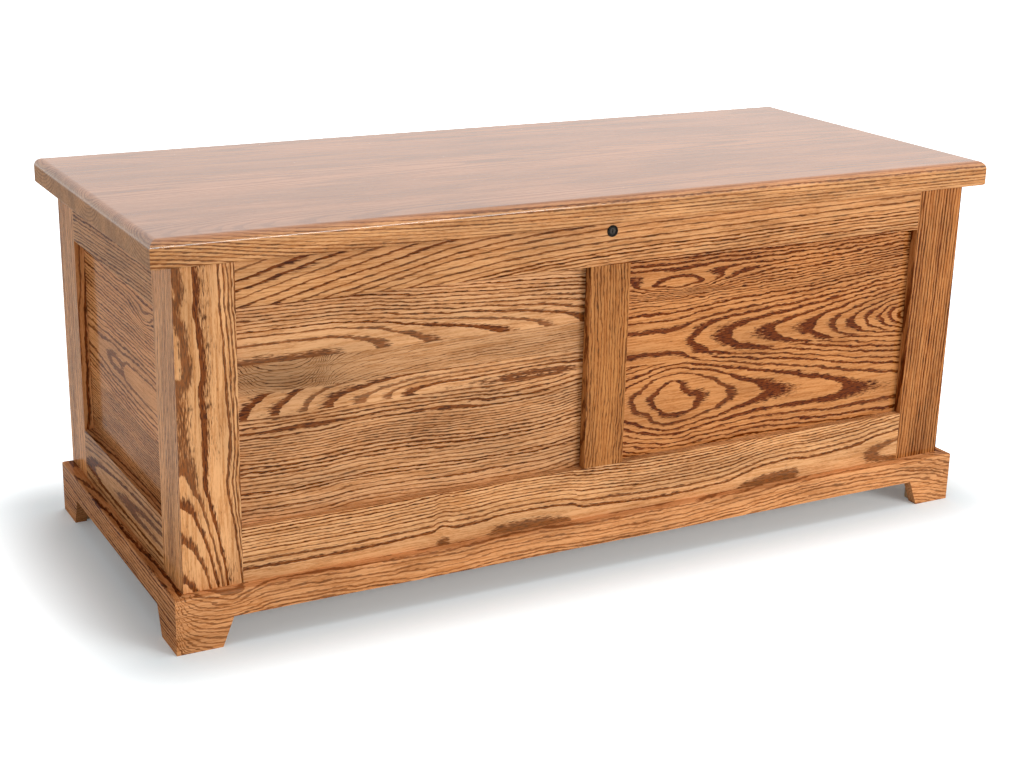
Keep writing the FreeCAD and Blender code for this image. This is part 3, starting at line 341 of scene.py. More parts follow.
def oak(name, origin, along, across, boards, seed=0.0, wave=1.0, ripple=1.0, knots=(), shades=(),
        tone=(1.0, 1.0, 1.0), contrast=1.0, dashes=8.5, coat=0.15, edges=None):
    """Stained red oak, in mm. Each board is a slice through growth rings: heart is where the heart of the
    tree runs across the face, deep is how far below the face it lies, rings are the radii at which its
    rings begin, or their one width, bold widens its early wood, and edge is where the next board begins.
    Wave and ripple bend the rings, knots lift them, shades darken patches, tone tints the stain, and
    dashes is the length of a pore. Edges is the tone of a lid's edge and underside; its top then has a
    full coat of lacquer and keeps the given tone and contrast, darker, pinker and fainter-grained than
    the edges: the pinker, fainter look is a painted sheen."""
    finish = Finish(name)
    place = finish.board_space(origin, along, across)
    sway_v, sway_w = 16.0 * wave, 4.0 * wave
    shake_u, shake_v = 8.0 * ripple, 3.0 * ripple
    sway = finish.noise(place, (230, 46, 46), 2.5, 0.5, seed).output("Color")
    shake = finish.noise(place, (26, 9, 9), 2.0, 0.5, seed + 5).output("Color")
    bent = finish.node("VectorMath", {"operation": "MULTIPLY_ADD"},
                       {0: sway, 1: (0.0, sway_v, sway_w), 2: place})
    bent = finish.node("VectorMath", {"operation": "MULTIPLY_ADD"},
                       {0: shake, 1: (shake_u, shake_v, 0.0), 2: bent})
    middle = (shake_u / 2, (sway_v + shake_v) / 2, sway_w / 2)
    bent = finish.node("VectorMath", {"operation": "SUBTRACT"}, {0: bent, 1: middle})
    split = finish.node("SeparateXYZ", {}, {0: bent}, "X")
    u, v, w = (split.output(axis) for axis in "XYZ")
    flat_v = finish.node("SeparateXYZ", {}, {0: place}, "Y")
    count = None
    for index, board in enumerate(boards):
        heart = finish.trace(u, board["heart"])
        deep = finish.trace(u, board["deep"]) if isinstance(board["deep"], list) else board["deep"]
        spoke = finish.node("CombineXYZ", {}, {"X": v - heart, "Y": w + deep, "Z": 0.0})
        radius = finish.node("VectorMath", {"operation": "LENGTH"}, {0: spoke}, "Value")
        rings = board["rings"]
        if isinstance(rings, list):
            inner, outer = rings[0], rings[-1]
            years = []
            for number, (start, end) in enumerate(zip(rings, rings[1:])):
                years.append((start, number))
                if end - start > WIDE_RING:
                    years.append((start + WIDE_RING * EARLY_END, number + EARLY_END))
            years.append((outer, len(rings) - 1))
            field = finish.trace(radius, years, "VECTOR")
            field = field + (radius - outer).math("MAXIMUM", 0.0) * (1.0 / (outer - rings[-2]))
            field = field + (radius - inner).math("MINIMUM", 0.0) * (1.0 / (rings[1] - inner))
        else:
            field = radius * (1.0 / rings)
        field = field + (BOARD_STEP * index - FRAY_START)
        own_shade, own_bold = board.get("tone", 1.0), board.get("bold", 0.0)
        if count is None:
            count, shade, bold = field, own_shade, own_bold
        else:
            next_board = flat_v.math("GREATER_THAN", edge)
            count = finish.node("Mix", {}, {0: next_board, 2: count, 3: field})
            shade = finish.node("Mix", {}, {0: next_board, 2: shade, 3: own_shade})
            bold = finish.node("Mix", {}, {0: next_board, 2: bold, 3: own_bold})
        edge = board.get("edge")

    def spot(at_u, at_v, size_u, size_v):
        """One in the middle of a soft oval patch, falling to nothing around it."""
        blob = finish.node("Mapping", {"vector_type": "TEXTURE"},
                           {"Vector": bent, "Location": (at_u, at_v, 0.0),
                            "Scale": (size_u, size_v, KNOT_DEPTH)})
        away = finish.node("VectorMath", {"operation": "DOT_PRODUCT"}, {0: blob, 1: blob}, "Value")
        return (away * -1.0).math("EXPONENT")

    for at_u, at_v, size_u, size_v, lift in knots:
        count = spot(at_u, at_v, size_u, size_v).math("MULTIPLY_ADD", lift, count)

    dash = finish.noise(place, (dashes, 1.25, 1.25), seed=seed + 3)
    streak = finish.noise(place, (48.0, 2.1, 2.1), seed=seed + 7)
    broad = finish.noise(place, (130.0, 24.0, 24.0), 2.0, 0.5, seed + 11)
    grit = finish.noise(place, (6.0, 0.8, 0.8), 2.0, 0.6, seed + 17)
    frayed = dash.math("MULTIPLY_ADD", FRAY, count)
    year = frayed.math("FLOOR")
    through = frayed.math("FRACT")
    luck = finish.node("TexWhiteNoise", {"noise_dimensions": "1D"}, {"W": year + seed}, "Value")
    early_part = luck.math("MULTIPLY_ADD", EARLY_MORE, EARLY_LEAST)
    early_part = early_part + finish.fade(broad, 0.35, 0.65, -0.08, 0.08) + bold
    soak = 1.0 - through.math("DIVIDE", early_part)
    pored = dash.math("MULTIPLY_ADD", 2.0, soak) - 1.0
    early = finish.fade(pored, -0.05, 0.38) * finish.fade(through, 0.0, 0.05)
    fleck = finish.fade(dash, 0.58, 0.70) * finish.fade(streak, 0.46, 0.64, 0.0, 0.55)
    share = (early * (luck * 0.24 + 0.76)).math("MAXIMUM", fleck)
    fibre = finish.fade(streak * 0.6 + grit * 0.4, 0.40, 0.62)
    dark = finish.mix(finish.fade(dash, 0.46, 0.62), OAK_BROWN, OAK_DARK)
    facing = finish.node("TexCoord", {}, {}, "Normal")
    end_grain = finish.node("VectorMath", {"operation": "DOT_PRODUCT"}, {0: facing, 1: along}, "Value")
    end_grain = finish.fade(end_grain.math("ABSOLUTE"), 0.55, 0.95)
    share = share * end_grain.math("MULTIPLY_ADD", -0.5, 1.0)
    # On a lid the top keeps the given tone and contrast and loses some fibre, while its edges and underside
    # take the edge tone: the pinker, fainter-grained top is a painted sheen.
    if edges:
        upward = finish.node("SeparateXYZ", {}, {0: facing}, "Z")
        coat = finish.fade(upward, 0.02, 0.30, coat, 1.0)
        fibre = fibre * finish.fade(upward, 0.5, 1.0, 1.0, 0.6)
        contrast = finish.fade(upward, 0.5, 1.0, 0.85, contrast)
        tone = tuple(finish.fade(upward, 0.3, 0.9, side, top) for side, top in zip(edges, tone))
    colour = finish.mix(share * contrast, finish.mix(fibre, OAK_PALE, OAK_TAN), dark)
    shade = finish.fade(broad, 0.3, 0.7, 1.10, 0.88) * shade
    for at_u, at_v, size_u, size_v, amount in shades:
        shade = shade * spot(at_u, at_v, size_u, size_v).math("MULTIPLY_ADD", amount, 1.0)
    shade = shade * end_grain.math("MULTIPLY_ADD", -0.15, 1.0)
    stain = finish.node("CombineXYZ", {}, {axis: shade * strength for axis, strength in zip("XYZ", tone)})
    colour = finish.node("VectorMath", {"operation": "MULTIPLY"}, {0: colour, 1: stain})
    bump = finish.node("Bump", {}, {"Strength": 0.2, "Distance": 0.0005, "Height": share * -1.0})
    rough = share.math("MULTIPLY_ADD", 0.14, 0.40)
    return finish.surface(Base_Color=colour, Roughness=rough, Normal=bump, Coat_Weight=coat,
                          Coat_Roughness=0.14, Coat_IOR=1.62 if edges else 1.5, Specular_IOR_Level=0.0)


def dress(node, material):
    """Gives a CAD piece its finish."""
    for entry in frame["nodes"][node].material_slots:
        entry.material = material


def oak_piece(node, origin, along, across, boards, **figure):
    """Gives a CAD piece an oak finish of its own."""
    dress(node, oak("oak_" + node, origin, along, across, boards, **figure))


RIGHT, LEFT, DOWN = (1, 0, 0), (-1, 0, 0), (0, 0, -1)
FRONT_FACE = -218
CASE_RIGHT = 509
OPENING_LEFT = -443
MUNTIN_RIGHT = 26
LID_UNDERSIDE = 417
oak_piece("front_top_rail", (OPENING_LEFT, FRONT_FACE, LID_UNDERSIDE), RIGHT, DOWN, [dict(
    heart=[(0, -40), (150, -77), (300, -105), (443, -115), (600, -118), (886, -125)], deep=40, bold=0.08,
    rings=[56, 64.5, 73, 81.5, 90, 98.5, 107, 115, 122, 128.5, 135.5, 142.7,
           149.4, 154.2, 158.1, 162, 165.8, 169.7, 173.5])],
    seed=1.3, wave=0.35, dashes=14.0, tone=(0.94, 0.89, 0.80))
oak_piece("front_bottom_rail", (OPENING_LEFT, FRONT_FACE, 127), RIGHT, DOWN, [dict(
    heart=[(0, 66), (100, 66), (300, 62), (443, 67), (540, 71), (690, 60), (886, 48)],
    deep=[(0, 62.6), (222, 62.4), (236, 60.9), (250, 62.2), (274, 62.2), (304, 61.1), (350, 60.8),
          (396, 60.9), (424, 62.4), (606, 62.4), (648, 61.1), (690, 60.8), (718, 60.9), (746, 62.4),
          (800, 62.4), (840, 60.8), (886, 59.4)],
    rings=[56, 60, 64.03, 66.5, 69.3, 71.7, 73.8, 76, 78.1, 80.3, 82.5, 84.9, 87.3, 89.8])],
    seed=4.1, wave=0.3, tone=(1.08, 1.09, 1.06))
oak_piece("front_left_stile", (OPENING_LEFT, FRONT_FACE, LID_UNDERSIDE), DOWN, LEFT, [dict(
    bold=0.12, heart=[(0, 69), (60, 67), (130, 63), (190, 60), (245, 67), (380, 68)],
    deep=[(0, 59.9), (30, 59.7), (50, 60.7), (62, 59.8), (112, 59.6), (135, 61.2), (195, 61.4),
          (225, 59.8), (262, 55), (300, 49), (345, 41), (385, 34)],
    rings=[27, 34, 41, 49, 55, 59.4, 63.9, 77.5, 81.4, 84.1, 86.9, 89.5, 92])],
    seed=7.7, wave=0.3, ripple=1.5, tone=(1.10, 1.08, 1.02), shades=[(40, 58, 62, 13, -0.26)])
oak_piece("front_right_stile", (CASE_RIGHT, FRONT_FACE, LID_UNDERSIDE), DOWN, LEFT, [dict(
    heart=[(0, -190), (380, -176)], deep=40, rings=4.3, bold=0.08)],
    seed=9.2, wave=0.35, ripple=0.8, tone=(0.75, 0.585, 0.39), dashes=22.0, shades=[(340, 10, 70, 40, -0.22)])
oak_piece("front_muntin", (MUNTIN_RIGHT, FRONT_FACE, 370), DOWN, LEFT, [dict(
    heart=[(0, -146), (125, -150), (250, -145)], deep=30, rings=3.9)],
    seed=12.5, wave=0.5, ripple=2.4, tone=(0.70, 0.55, 0.345), contrast=0.85, dashes=7.5)


# ---------------------------------------------------------------- front panels
# Two flat panels, 6.5 mm thick, each glued up from oak boards that run sideways and let loose into
# the grooves of the frame, so that they can swell and shrink with the seasons.

OPENING_TOP = 366
PANEL_INSET = 11.25
LOWER_HEART, LOWER_DEEP = -40, 30
LOWER_LINES = (129, 134, 139.5, 145, 149, 152, 155, 158, 161, 164, 167, 170, 174, 178.5, 183, 188, 192.5,
               197, 202, 206.5, 211, 216, 220.5, 225, 230, 234.5, 239)
oak_piece("front_left_panel", (OPENING_LEFT, FRONT_FACE + PANEL_INSET, OPENING_TOP), RIGHT, DOWN, [
    dict(edge=66, heart=[(0, 67), (417, 67)],
         deep=[(0, 61), (100, 61), (125, 61.9), (156, 63.6), (210, 67.5), (293, 70.5), (363, 72.7),
               (409, 75), (417, 75.4)],
         rings=[60, 63.6, 67.5, 70.5, 72.7, 75, 77.1, 79.4, 81.7, 84.2, 86.7, 89.2]),
    dict(edge=99, heart=[(0, 28), (60, 52), (112, 14), (160, 2), (417, -14)], deep=20, rings=3.0,
         tone=0.84, bold=-0.24),
    dict(edge=125, heart=[(0, 123), (417, 121)],
         deep=[(0, 50.5), (16, 47), (52, 39.5), (82, 32), (112, 25), (150, 20.6), (178, 17.6), (205, 14.8),
               (290, 13.4), (315, 12.9), (330, 12.15), (380, 12.15), (400, 13.2), (417, 13.6)],
         rings=[9.2, 12, 14.8, 17.6, 20.6, 25, 32, 39.5, 47, 54.5, 62], bold=0.20),
    dict(heart=[(0, LOWER_HEART), (80, -38), (160, -42), (300, -38), (417, -46)], deep=LOWER_DEEP,
         rings=[math.hypot(line - LOWER_HEART, LOWER_DEEP) for line in LOWER_LINES], tone=0.98, bold=0.06)],
    seed=21.4, wave=0.45, ripple=1.3, shades=[(55, 84, 80, 20, -0.34), (330, 190, 90, 40, -0.12)],
    knots=[(78, 137, 40, 5, 0.8), (250, 141, 46, 6, 0.8), (112, 214, 36, 6, 0.7), (300, 222, 60, 7, 0.7)])

# The right panel's upper board shows rings of one width up to its long lens, then closer ones.
LENS_RINGS = [6 + 4.4 * number for number in range(13)]
oak_piece("front_right_panel", (MUNTIN_RIGHT, FRONT_FACE + PANEL_INSET, OPENING_TOP), RIGHT, DOWN, [
    dict(edge=130, heart=[(0, 103), (108, 106), (283, 110), (417, 111)],
         deep=[(0, 53.8), (80, 53.2), (106, 50), (159, 45.6), (227, 41.2), (281, 36.8), (312, 32.4),
               (342, 28), (364, 23.6), (385, 19.2), (400, 14.8), (417, 10.4)],
         rings=LENS_RINGS + [62.5, 66, 69, 72, 75, 78, 81, 84.5, 89, 93.5, 98, 102.5, 107, 111.5, 116, 121],
         bold=0.09),
    dict(heart=[(0, 176), (100, 178), (170, 182), (217, 185), (333, 198), (417, 204)],
         deep=[(0, 67), (22, 64), (36, 61.8), (51, 59.5), (77, 57.4), (104, 59.5), (126, 61.9), (148, 64),
               (195, 67.7), (224, 68.7), (322, 71.2), (345, 72.2), (417, 74)],
         rings=[54, 59.5, 64, 67.7, 71.2, 75, 78.5, 82, 85.8], bold=0.08)],
    seed=33.8, wave=0.35, ripple=2.4, tone=(0.87, 0.72, 0.54), contrast=1.2,
    knots=[(75, 36.5, 85, 11.5, 4.2), (96, 168, 16, 8, 0.5), (40, 192, 16, 8, 0.5), (72, 160, 10, 6, -0.4)],
    shades=[(390, 130, 60, 120, -0.10)])


# ---------------------------------------------------------------- side frames and panels
# Each end of the chest is a frame of two stiles and two rails round one flat glued panel. The front
# stiles of the sides are mitred to those of the front, so that no joint shows on their faces.

TO_FRONT, TO_BACK = (0, -1, 0), (0, 1, 0)
BOARD_WIDTH = 66
OUTER_RING = 240


def plain_piece(node, origin, along, across, seed, wave=0.6, tone=(0.96, 0.92, 0.86), figure="straight",
                widths=(), coat=0.15):
    """Gives a CAD piece oak of no special figure: straight, or with the arches of a board sawn near its
    tree's heart. Widths are where its glued boards meet."""
    draw = random.Random(seed)
    boards = []
    for index in range(len(widths) + 1):
        edge = widths[index] if index < len(widths) else None
        middle = draw.uniform(0.1, 0.9) * BOARD_WIDTH + (widths[index - 1] if index else 0)
        far = figure == "straight" or (index and draw.random() < 0.4)
        heart = -draw.uniform(90, 180) if far else middle
        sway = draw.uniform(-12, 12)
        deep = draw.uniform(26, 60)
        climb = draw.uniform(10, 24) * draw.choice((-1, 1))
        rings = [draw.uniform(2, 5)]
        while rings[-1] < OUTER_RING:
            rings.append(rings[-1] + draw.uniform(2.6, 5.4))
        boards.append(dict(
            edge=edge, heart=[(0, heart), (500, heart + sway), (1000, heart)],
            deep=[(0, deep), (260, deep + climb * 0.5), (520, deep + climb * 0.6), (1000, deep + climb)],
            rings=rings, tone=draw.uniform(0.9, 1.06)))
    oak_piece(node, origin, along, across, boards, seed=float(seed), wave=wave, tone=tone, coat=coat)


CASE_LEFT, BACK_FACE = -509, 218
CASE_TOP = 415.5
RAIL_TOP = 125
SIDE_OPENING_TOP = 359.5
# The side stiles are toned paler than the rest of the oak: a painted sheen, the glare they catch when seen
# edge-on.
SIDE_STILE_SHEEN_TONE = (1.34, 1.25, 1.10)
for side, face, panel_face, start, along, upright, seed in (
        ("left_side", CASE_LEFT, CASE_LEFT + PANEL_INSET, BACK_FACE, TO_FRONT, TO_BACK, 41),
        ("right_side", CASE_RIGHT, CASE_RIGHT - PANEL_INSET, FRONT_FACE, TO_BACK, TO_FRONT, 52)):
    plain_piece(f"{side}_top_rail", (face, start, CASE_TOP), along, DOWN, seed)
    plain_piece(f"{side}_bottom_rail", (face, start, RAIL_TOP), along, DOWN, seed + 1, figure="arched")
    oak_piece(f"{side}_panel", (panel_face, start, SIDE_OPENING_TOP), along, DOWN, [
        dict(edge=166, heart=[(0, 112), (436, 124)],
             deep=[(0, 44), (120, 42.5), (150, 41.2), (178, 40.3), (205, 40.6), (222, 39.2), (330, 38.0),
                   (436, 36)],
             rings=[28, 32, 36, 40, 43.6, 47.2, 51, 54, 57, 61, 64, 67, 71, 75, 78, 82, 86, 90, 94, 99, 103]),
        dict(heart=[(0, -180), (436, -170)], deep=30, rings=2.9, tone=0.84)],
        seed=float(seed + 2), wave=0.5, ripple=1.6, knots=[(296, 35, 40, 14, 2.5)], tone=(1.08, 0.95, 0.83))
    plain_piece(f"{side}_front_stile", (face, FRONT_FACE, CASE_TOP), DOWN, upright, seed + 3,
                tone=SIDE_STILE_SHEEN_TONE, coat=0.20)
    plain_piece(f"{side}_rear_stile", (face, BACK_FACE, CASE_TOP), DOWN, upright, seed + 4,
                tone=SIDE_STILE_SHEEN_TONE, coat=0.20)


# ---------------------------------------------------------------- back frame and panels
# The back is framed like the front, with a muntin between two glued-up panels, and stands between the
# two sides. Its top rail carries the hinges.

BACK_RIGHT = 487
BACK_OPENING = 421
BACK_PANEL_FACE = BACK_FACE - PANEL_INSET
plain_piece("back_top_rail", (BACK_RIGHT, BACK_FACE, CASE_TOP), LEFT, DOWN, 61)
plain_piece("back_bottom_rail", (BACK_RIGHT, BACK_FACE, RAIL_TOP), LEFT, DOWN, 62, figure="arched")
plain_piece("back_left_stile", (BACK_RIGHT, BACK_FACE, CASE_TOP), DOWN, RIGHT, 63)
plain_piece("back_right_stile", (-BACK_OPENING, BACK_FACE, CASE_TOP), DOWN, RIGHT, 64)
plain_piece("back_muntin", (MUNTIN_RIGHT, BACK_FACE, OPENING_TOP), DOWN, RIGHT, 65)
plain_piece("back_left_panel", (BACK_OPENING, BACK_PANEL_FACE, OPENING_TOP), LEFT, DOWN, 66, 0.8,
            figure="arched", widths=(84, 170))
plain_piece("back_right_panel", (-MUNTIN_RIGHT, BACK_PANEL_FACE, OPENING_TOP), LEFT, DOWN, 67, 0.8,
            figure="arched", widths=(70, 150))


# ---------------------------------------------------------------- base
# Low boards mitred round the front and the sides, sawn out below so that splayed feet are left at
# the corners, glued and screwed to the case from inside. Their top edge is eased. The two rear feet
# are brackets under the back.

BASE_TOP = 63
BASE_LEFT, BASE_RIGHT, BASE_FACE = -523, 523, -232
BASE_SIDE_TONE = (0.88, 0.75, 0.61)
BASE_DEEP = 26
BASE_LINES = (20, 25, 29, 35, 40, 47, 51, 57.5, 62, 66, 73, 77.5, 85, 89, 96)
oak_piece("base_front", (BASE_LEFT, BASE_FACE, BASE_TOP), RIGHT, DOWN, [dict(
    heart=[(0, 58), (60, 95), (110, 88), (300, 93), (420, 88), (523, 92), (700, 84), (900, 73), (960, 75),
           (1046, 92)], deep=BASE_DEEP, bold=0.06,
    rings=[math.hypot(line, BASE_DEEP) for line in BASE_LINES])],
    seed=71.3, wave=0.6, ripple=2.2, knots=[(62, 8, 15, 8, 1.1)], shades=[(10, 40, 40, 40, -0.10)],
    tone=(1.05, 0.94, 0.84), contrast=0.78)
plain_piece("base_left", (BASE_LEFT, BACK_FACE, BASE_TOP), TO_FRONT, DOWN, 72, 0.7, BASE_SIDE_TONE)
plain_piece("base_right", (BASE_RIGHT, BASE_FACE, BASE_TOP), TO_BACK, DOWN, 73, 0.7, BASE_SIDE_TONE)
BRACKET_TOP = 36
plain_piece("rear_bracket_left", (CASE_LEFT, BACK_FACE, BRACKET_TOP), LEFT, DOWN, 74, 0.7)
plain_piece("rear_bracket_right", (CASE_RIGHT, BACK_FACE, BRACKET_TOP), LEFT, DOWN, 75, 0.7)


# ---------------------------------------------------------------- glue blocks and cleats
# Plain unstained poplar that stays out of sight: a block glued into each foot, and the two square
# strips that carry the floor.

POPLAR_PALE = (0.54, 0.38, 0.22)
POPLAR_LINE = (0.36, 0.22, 0.11)


def plain_wood(name, along, across):
    """Pale close-grained wood, sawn and left bare."""
    finish = Finish(name)
    place = finish.board_space((0, 0, 0), along, across)
    streak = finish.noise(place, (90.0, 3.0, 3.0), 3.0, 0.6, 2.0)
    fur = finish.noise(place, (5.0, 0.7, 0.7), 2.0, 0.6, 5.0)
    share = finish.fade(streak, 0.4, 0.66) * 0.8 + fur * 0.2
    colour = finish.mix(share, POPLAR_PALE, POPLAR_LINE)
    bump = finish.node("Bump", {}, {"Strength": 0.25, "Distance": 0.0005, "Height": fur})
    rough = share.math("MULTIPLY_ADD", 0.1, 0.7)
    return finish.surface(Base_Color=colour, Roughness=rough, Normal=bump)


bare_along = plain_wood("bare_wood_along_x", RIGHT, DOWN)
bare_upright = plain_wood("bare_wood_upright", DOWN, LEFT)
dress("floor_cleat_front", bare_along)
dress("floor_cleat_rear", bare_along)
dress("corner_blocks", bare_upright)


# ---------------------------------------------------------------- cedar floor
# Six tongue-and-groove boards of red cedar laid from front to back on the cleats, left bare so that
# their scent keeps moths away. Each board's edges are eased into a shallow V where they meet.


class Recipe:
    """A geometry node tree under construction: entries are its inputs' names and kinds."""

    def __init__(self, name, entries):
        self.tree = bpy.data.node_groups.new(name, "GeometryNodeTree")
        self.tree.interface.new_socket("Geometry", in_out="OUTPUT", socket_type="NodeSocketGeometry")
        self.keys = {}
        for label, kind in entries.items():
            entry = self.tree.interface.new_socket(label, in_out="INPUT", socket_type="NodeSocket" + kind)
            self.keys[label] = entry.identifier
        self.given = self.tree.nodes.new("NodeGroupInput")
        self.result = self.tree.nodes.new("NodeGroupOutput")

    def entry(self, label):
        """One of the tree's inputs."""
        return Signal(self.tree, self.given.outputs[label])

    def node(self, kind, settings=None, values=None, output=0):
        """Adds a node: its settings first, then the values or links of its sockets."""
        made = self.tree.nodes.new(kind)
        for name, setting in (settings or {}).items():
            setattr(made, name, setting)
        for name, given in (values or {}).items():
            plug(self.tree, made.inputs[name], given)
        return Signal(self.tree, made.outputs[output])

    def vector(self, x=0.0, y=0.0, z=0.0):
        """Three numbers as one vector."""
        return self.node("ShaderNodeCombineXYZ", {}, {"X": x, "Y": y, "Z": z})

    def end(self, shape, material):
        """Realizes the instances, sets the material and closes the tree."""
        real = self.node("GeometryNodeRealizeInstances", {}, {"Geometry": shape})
        painted = self.node("GeometryNodeSetMaterial", {}, {"Geometry": real, "Material": material})
        self.tree.links.new(painted.socket, self.result.inputs[0])

    def build(self, piece_name, values, body):
        """Runs the tree once and keeps its result as a plain mesh that rides on a body."""
        maker = bpy.data.objects.new(piece_name + "_maker", bpy.data.meshes.new(piece_name + "_maker"))
        scene.collection.objects.link(maker)
        modifier = maker.modifiers.new("recipe", "NODES")
        modifier.node_group = self.tree
        for label, value in values.items():
            modifier[self.keys[label]] = value
        bpy.context.view_layer.update()
        shaped = maker.evaluated_get(bpy.context.evaluated_depsgraph_get())
        mesh = bpy.data.meshes.new_from_object(shaped)
        maker.modifiers.clear()
        bpy.data.objects.remove(maker)
        piece = bpy.data.objects.new(piece_name, mesh)
        scene.collection.objects.link(piece)
        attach(piece, body)
        return piece


CEDAR_RED = (0.40, 0.115, 0.055)
CEDAR_ROSE = (0.52, 0.23, 0.12)
CEDAR_CREAM = (0.66, 0.46, 0.27)
CEDAR_KNOT = (0.10, 0.024, 0.011)
CEDAR_EYE = (0.27, 0.085, 0.036)
FLOOR_HALF = 486.0
FLOOR_FACE = 62
APART_ALONG = 731.0
APART_DEEP = 57.0


def cedar(name, board_width):
    """Red cedar with cream sapwood streaks and a few small knots, each board cut from its own place."""
    finish = Finish(name)
    place = finish.board_space((0, 0, FLOOR_FACE), TO_BACK, RIGHT)
    across = finish.node("SeparateXYZ", {}, {0: place}, "Y")
    number = (across + FLOOR_HALF).math("DIVIDE", board_width).math("FLOOR")
    own = finish.node("CombineXYZ", {}, {"X": number * APART_ALONG, "Y": 0.0, "Z": number * APART_DEEP})
    place = finish.node("VectorMath", {"operation": "ADD"}, {0: place, 1: own})
    grain = finish.noise(place, (420.0, 22.0, 22.0), 3.0, 0.55)
    spots = finish.node("Mapping", {}, {"Vector": place, "Scale": (0.0065, 0.012, 0.0)})
    near = finish.node("TexVoronoi", {"voronoi_dimensions": "2D"}, {"Vector": spots, "Scale": 1.0},
                       "Distance")
    chance = finish.node("SeparateXYZ", {}, {0: near.output("Color")}, "X")
    width = chance.math("MULTIPLY_ADD", 0.16, -0.06).math("MAXIMUM", 0.001)
    bulge = near.math("DIVIDE", width * 2.6).math("POWER", 2.0) * -1.0
    lines = (grain * 24.0 + bulge.math("EXPONENT") * 1.6).math("FRACT")
    sap = finish.fade(finish.noise(place, (1100.0, 52.0, 52.0), 2.0, 0.5, 9.0), 0.55, 0.64)
    fur = finish.noise(place, (6.0, 0.6, 0.6), 2.0, 0.6, 4.0)
    warm = finish.mix(finish.fade(lines, 0.15, 0.95), CEDAR_ROSE, CEDAR_RED)
    colour = finish.mix(sap * 0.8, warm, CEDAR_CREAM)
    spread = near.math("DIVIDE", width)
    eye = finish.mix(finish.fade(spread, 0.30, 0.75), CEDAR_EYE, CEDAR_KNOT)
    colour = finish.mix(finish.fade(spread, 1.0, 0.8), colour, eye)
    bump = finish.node("Bump", {}, {"Strength": 0.3, "Distance": 0.0005, "Height": fur})
    rough = fur.math("MULTIPLY_ADD", 0.12, 0.62)
    return finish.surface(Base_Color=colour, Roughness=rough, Normal=bump)


FLOOR_WIDTH = FLOOR_HALF * 2 / MM_PER_METRE
BOARD_COUNT = 6
boards = Recipe("floor_of_boards", {"Boards": "Int", "Floor Width": "Float", "Board Length": "Float",
                                    "Thickness": "Float", "Gap": "Float", "Ease": "Float",
                                    "Tongue": "Float", "Level": "Float", "Material": "Material"})
pitch = boards.entry("Floor Width").math("DIVIDE", boards.entry("Boards"))
board_width = pitch - boards.entry("Gap")
path = boards.node("GeometryNodeCurvePrimitiveLine", {}, {
    "Start": boards.vector(y=boards.entry("Board Length") * -0.5),
    "End": boards.vector(y=boards.entry("Board Length") * 0.5)})
outline = boards.node("GeometryNodeCurvePrimitiveQuadrilateral", {}, {
    "Width": board_width, "Height": boards.entry("Thickness")})
eased = boards.node("GeometryNodeFilletCurve", {"mode": "POLY"}, {
    "Curve": outline, "Count": 2, "Radius": boards.entry("Ease")})
board = boards.node("GeometryNodeCurveToMesh", {}, {
    "Curve": path, "Profile Curve": eased, "Fill Caps": True})
tongue_outline = boards.node("GeometryNodeCurvePrimitiveQuadrilateral", {}, {
    "Width": boards.entry("Tongue") * 2.0, "Height": boards.entry("Tongue")})
tongue = boards.node("GeometryNodeCurveToMesh", {}, {
    "Curve": path, "Profile Curve": tongue_outline, "Fill Caps": True})
first = boards.entry("Floor Width") * -0.5 + board_width * 0.5
places = boards.node("GeometryNodeMeshLine", {}, {
    "Count": boards.entry("Boards"), "Start Location": boards.vector(x=first, z=boards.entry("Level")),
    "Offset": boards.vector(x=pitch)})
joints = boards.node("GeometryNodeMeshLine", {}, {
    "Count": boards.entry("Boards") - 1.0,
    "Start Location": boards.vector(x=first + pitch * 0.5, z=boards.entry("Level")),
    "Offset": boards.vector(x=pitch)})
laid = boards.node("GeometryNodeInstanceOnPoints", {}, {"Points": places, "Instance": board})
tongues = boards.node("GeometryNodeInstanceOnPoints", {}, {"Points": joints, "Instance": tongue})
joined = boards.node("GeometryNodeJoinGeometry", {}, {0: laid})
boards.tree.links.new(tongues.socket, joined.socket.node.inputs[0])
boards.end(joined, boards.entry("Material"))
cedar_floor = boards.build("cedar_floor", {
    "Boards": BOARD_COUNT, "Floor Width": FLOOR_WIDTH, "Board Length": 0.390, "Thickness": 0.010,
    "Gap": 0.0006, "Ease": 0.0012, "Tongue": 0.003, "Level": 0.057,
    "Material": cedar("red_cedar", FLOOR_HALF * 2 / BOARD_COUNT)}, "case")
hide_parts(*[f"floor_board_{number + 1}" for number in range(BOARD_COUNT)])


# ---------------------------------------------------------------- lid
# One top, 30 mm thick, glued up from five oak boards that run its whole length, so that its ends show
# end grain, and rounded over along its upper edge. Satin lacquer, rubbed smoother than on the case.

LID_BOARDS = [
    dict(edge=88, heart=[(0, 30), (500, 44), (1067, 38)], deep=[(0, 66), (480, 54), (1067, 46)], rings=4.2),
    dict(edge=182, heart=[(0, -60), (1067, -40)], deep=34, rings=4.0, tone=0.95),
    dict(edge=271, heart=[(0, 226), (500, 220), (1067, 232)], deep=[(0, 40), (420, 48), (1067, 64)],
         rings=4.4, tone=1.03),
    dict(edge=366, heart=[(0, 460), (1067, 480)], deep=30, rings=3.8, tone=0.97),
    dict(heart=[(0, 436), (1067, 434)], deep=[(0, 75), (300, 46), (520, 41), (1067, 40)],
         rings=[33, 38, 43, 48, 53, 57.5, 61.5, 65, 68.5, 72, 75.5, 79, 82.5, 86, 90, 94])]
LID_CORNER = (-533.5, 222.5, 447)
# The top's pinkish tone and low grain contrast are a painted sheen of the lacquer.
dress("lid_top", oak("oak_lid", LID_CORNER, RIGHT, TO_FRONT, LID_BOARDS, seed=84.6, wave=0.4,
                     contrast=0.32, tone=(0.75, 0.65, 0.66), edges=(0.95, 0.90, 0.80)))


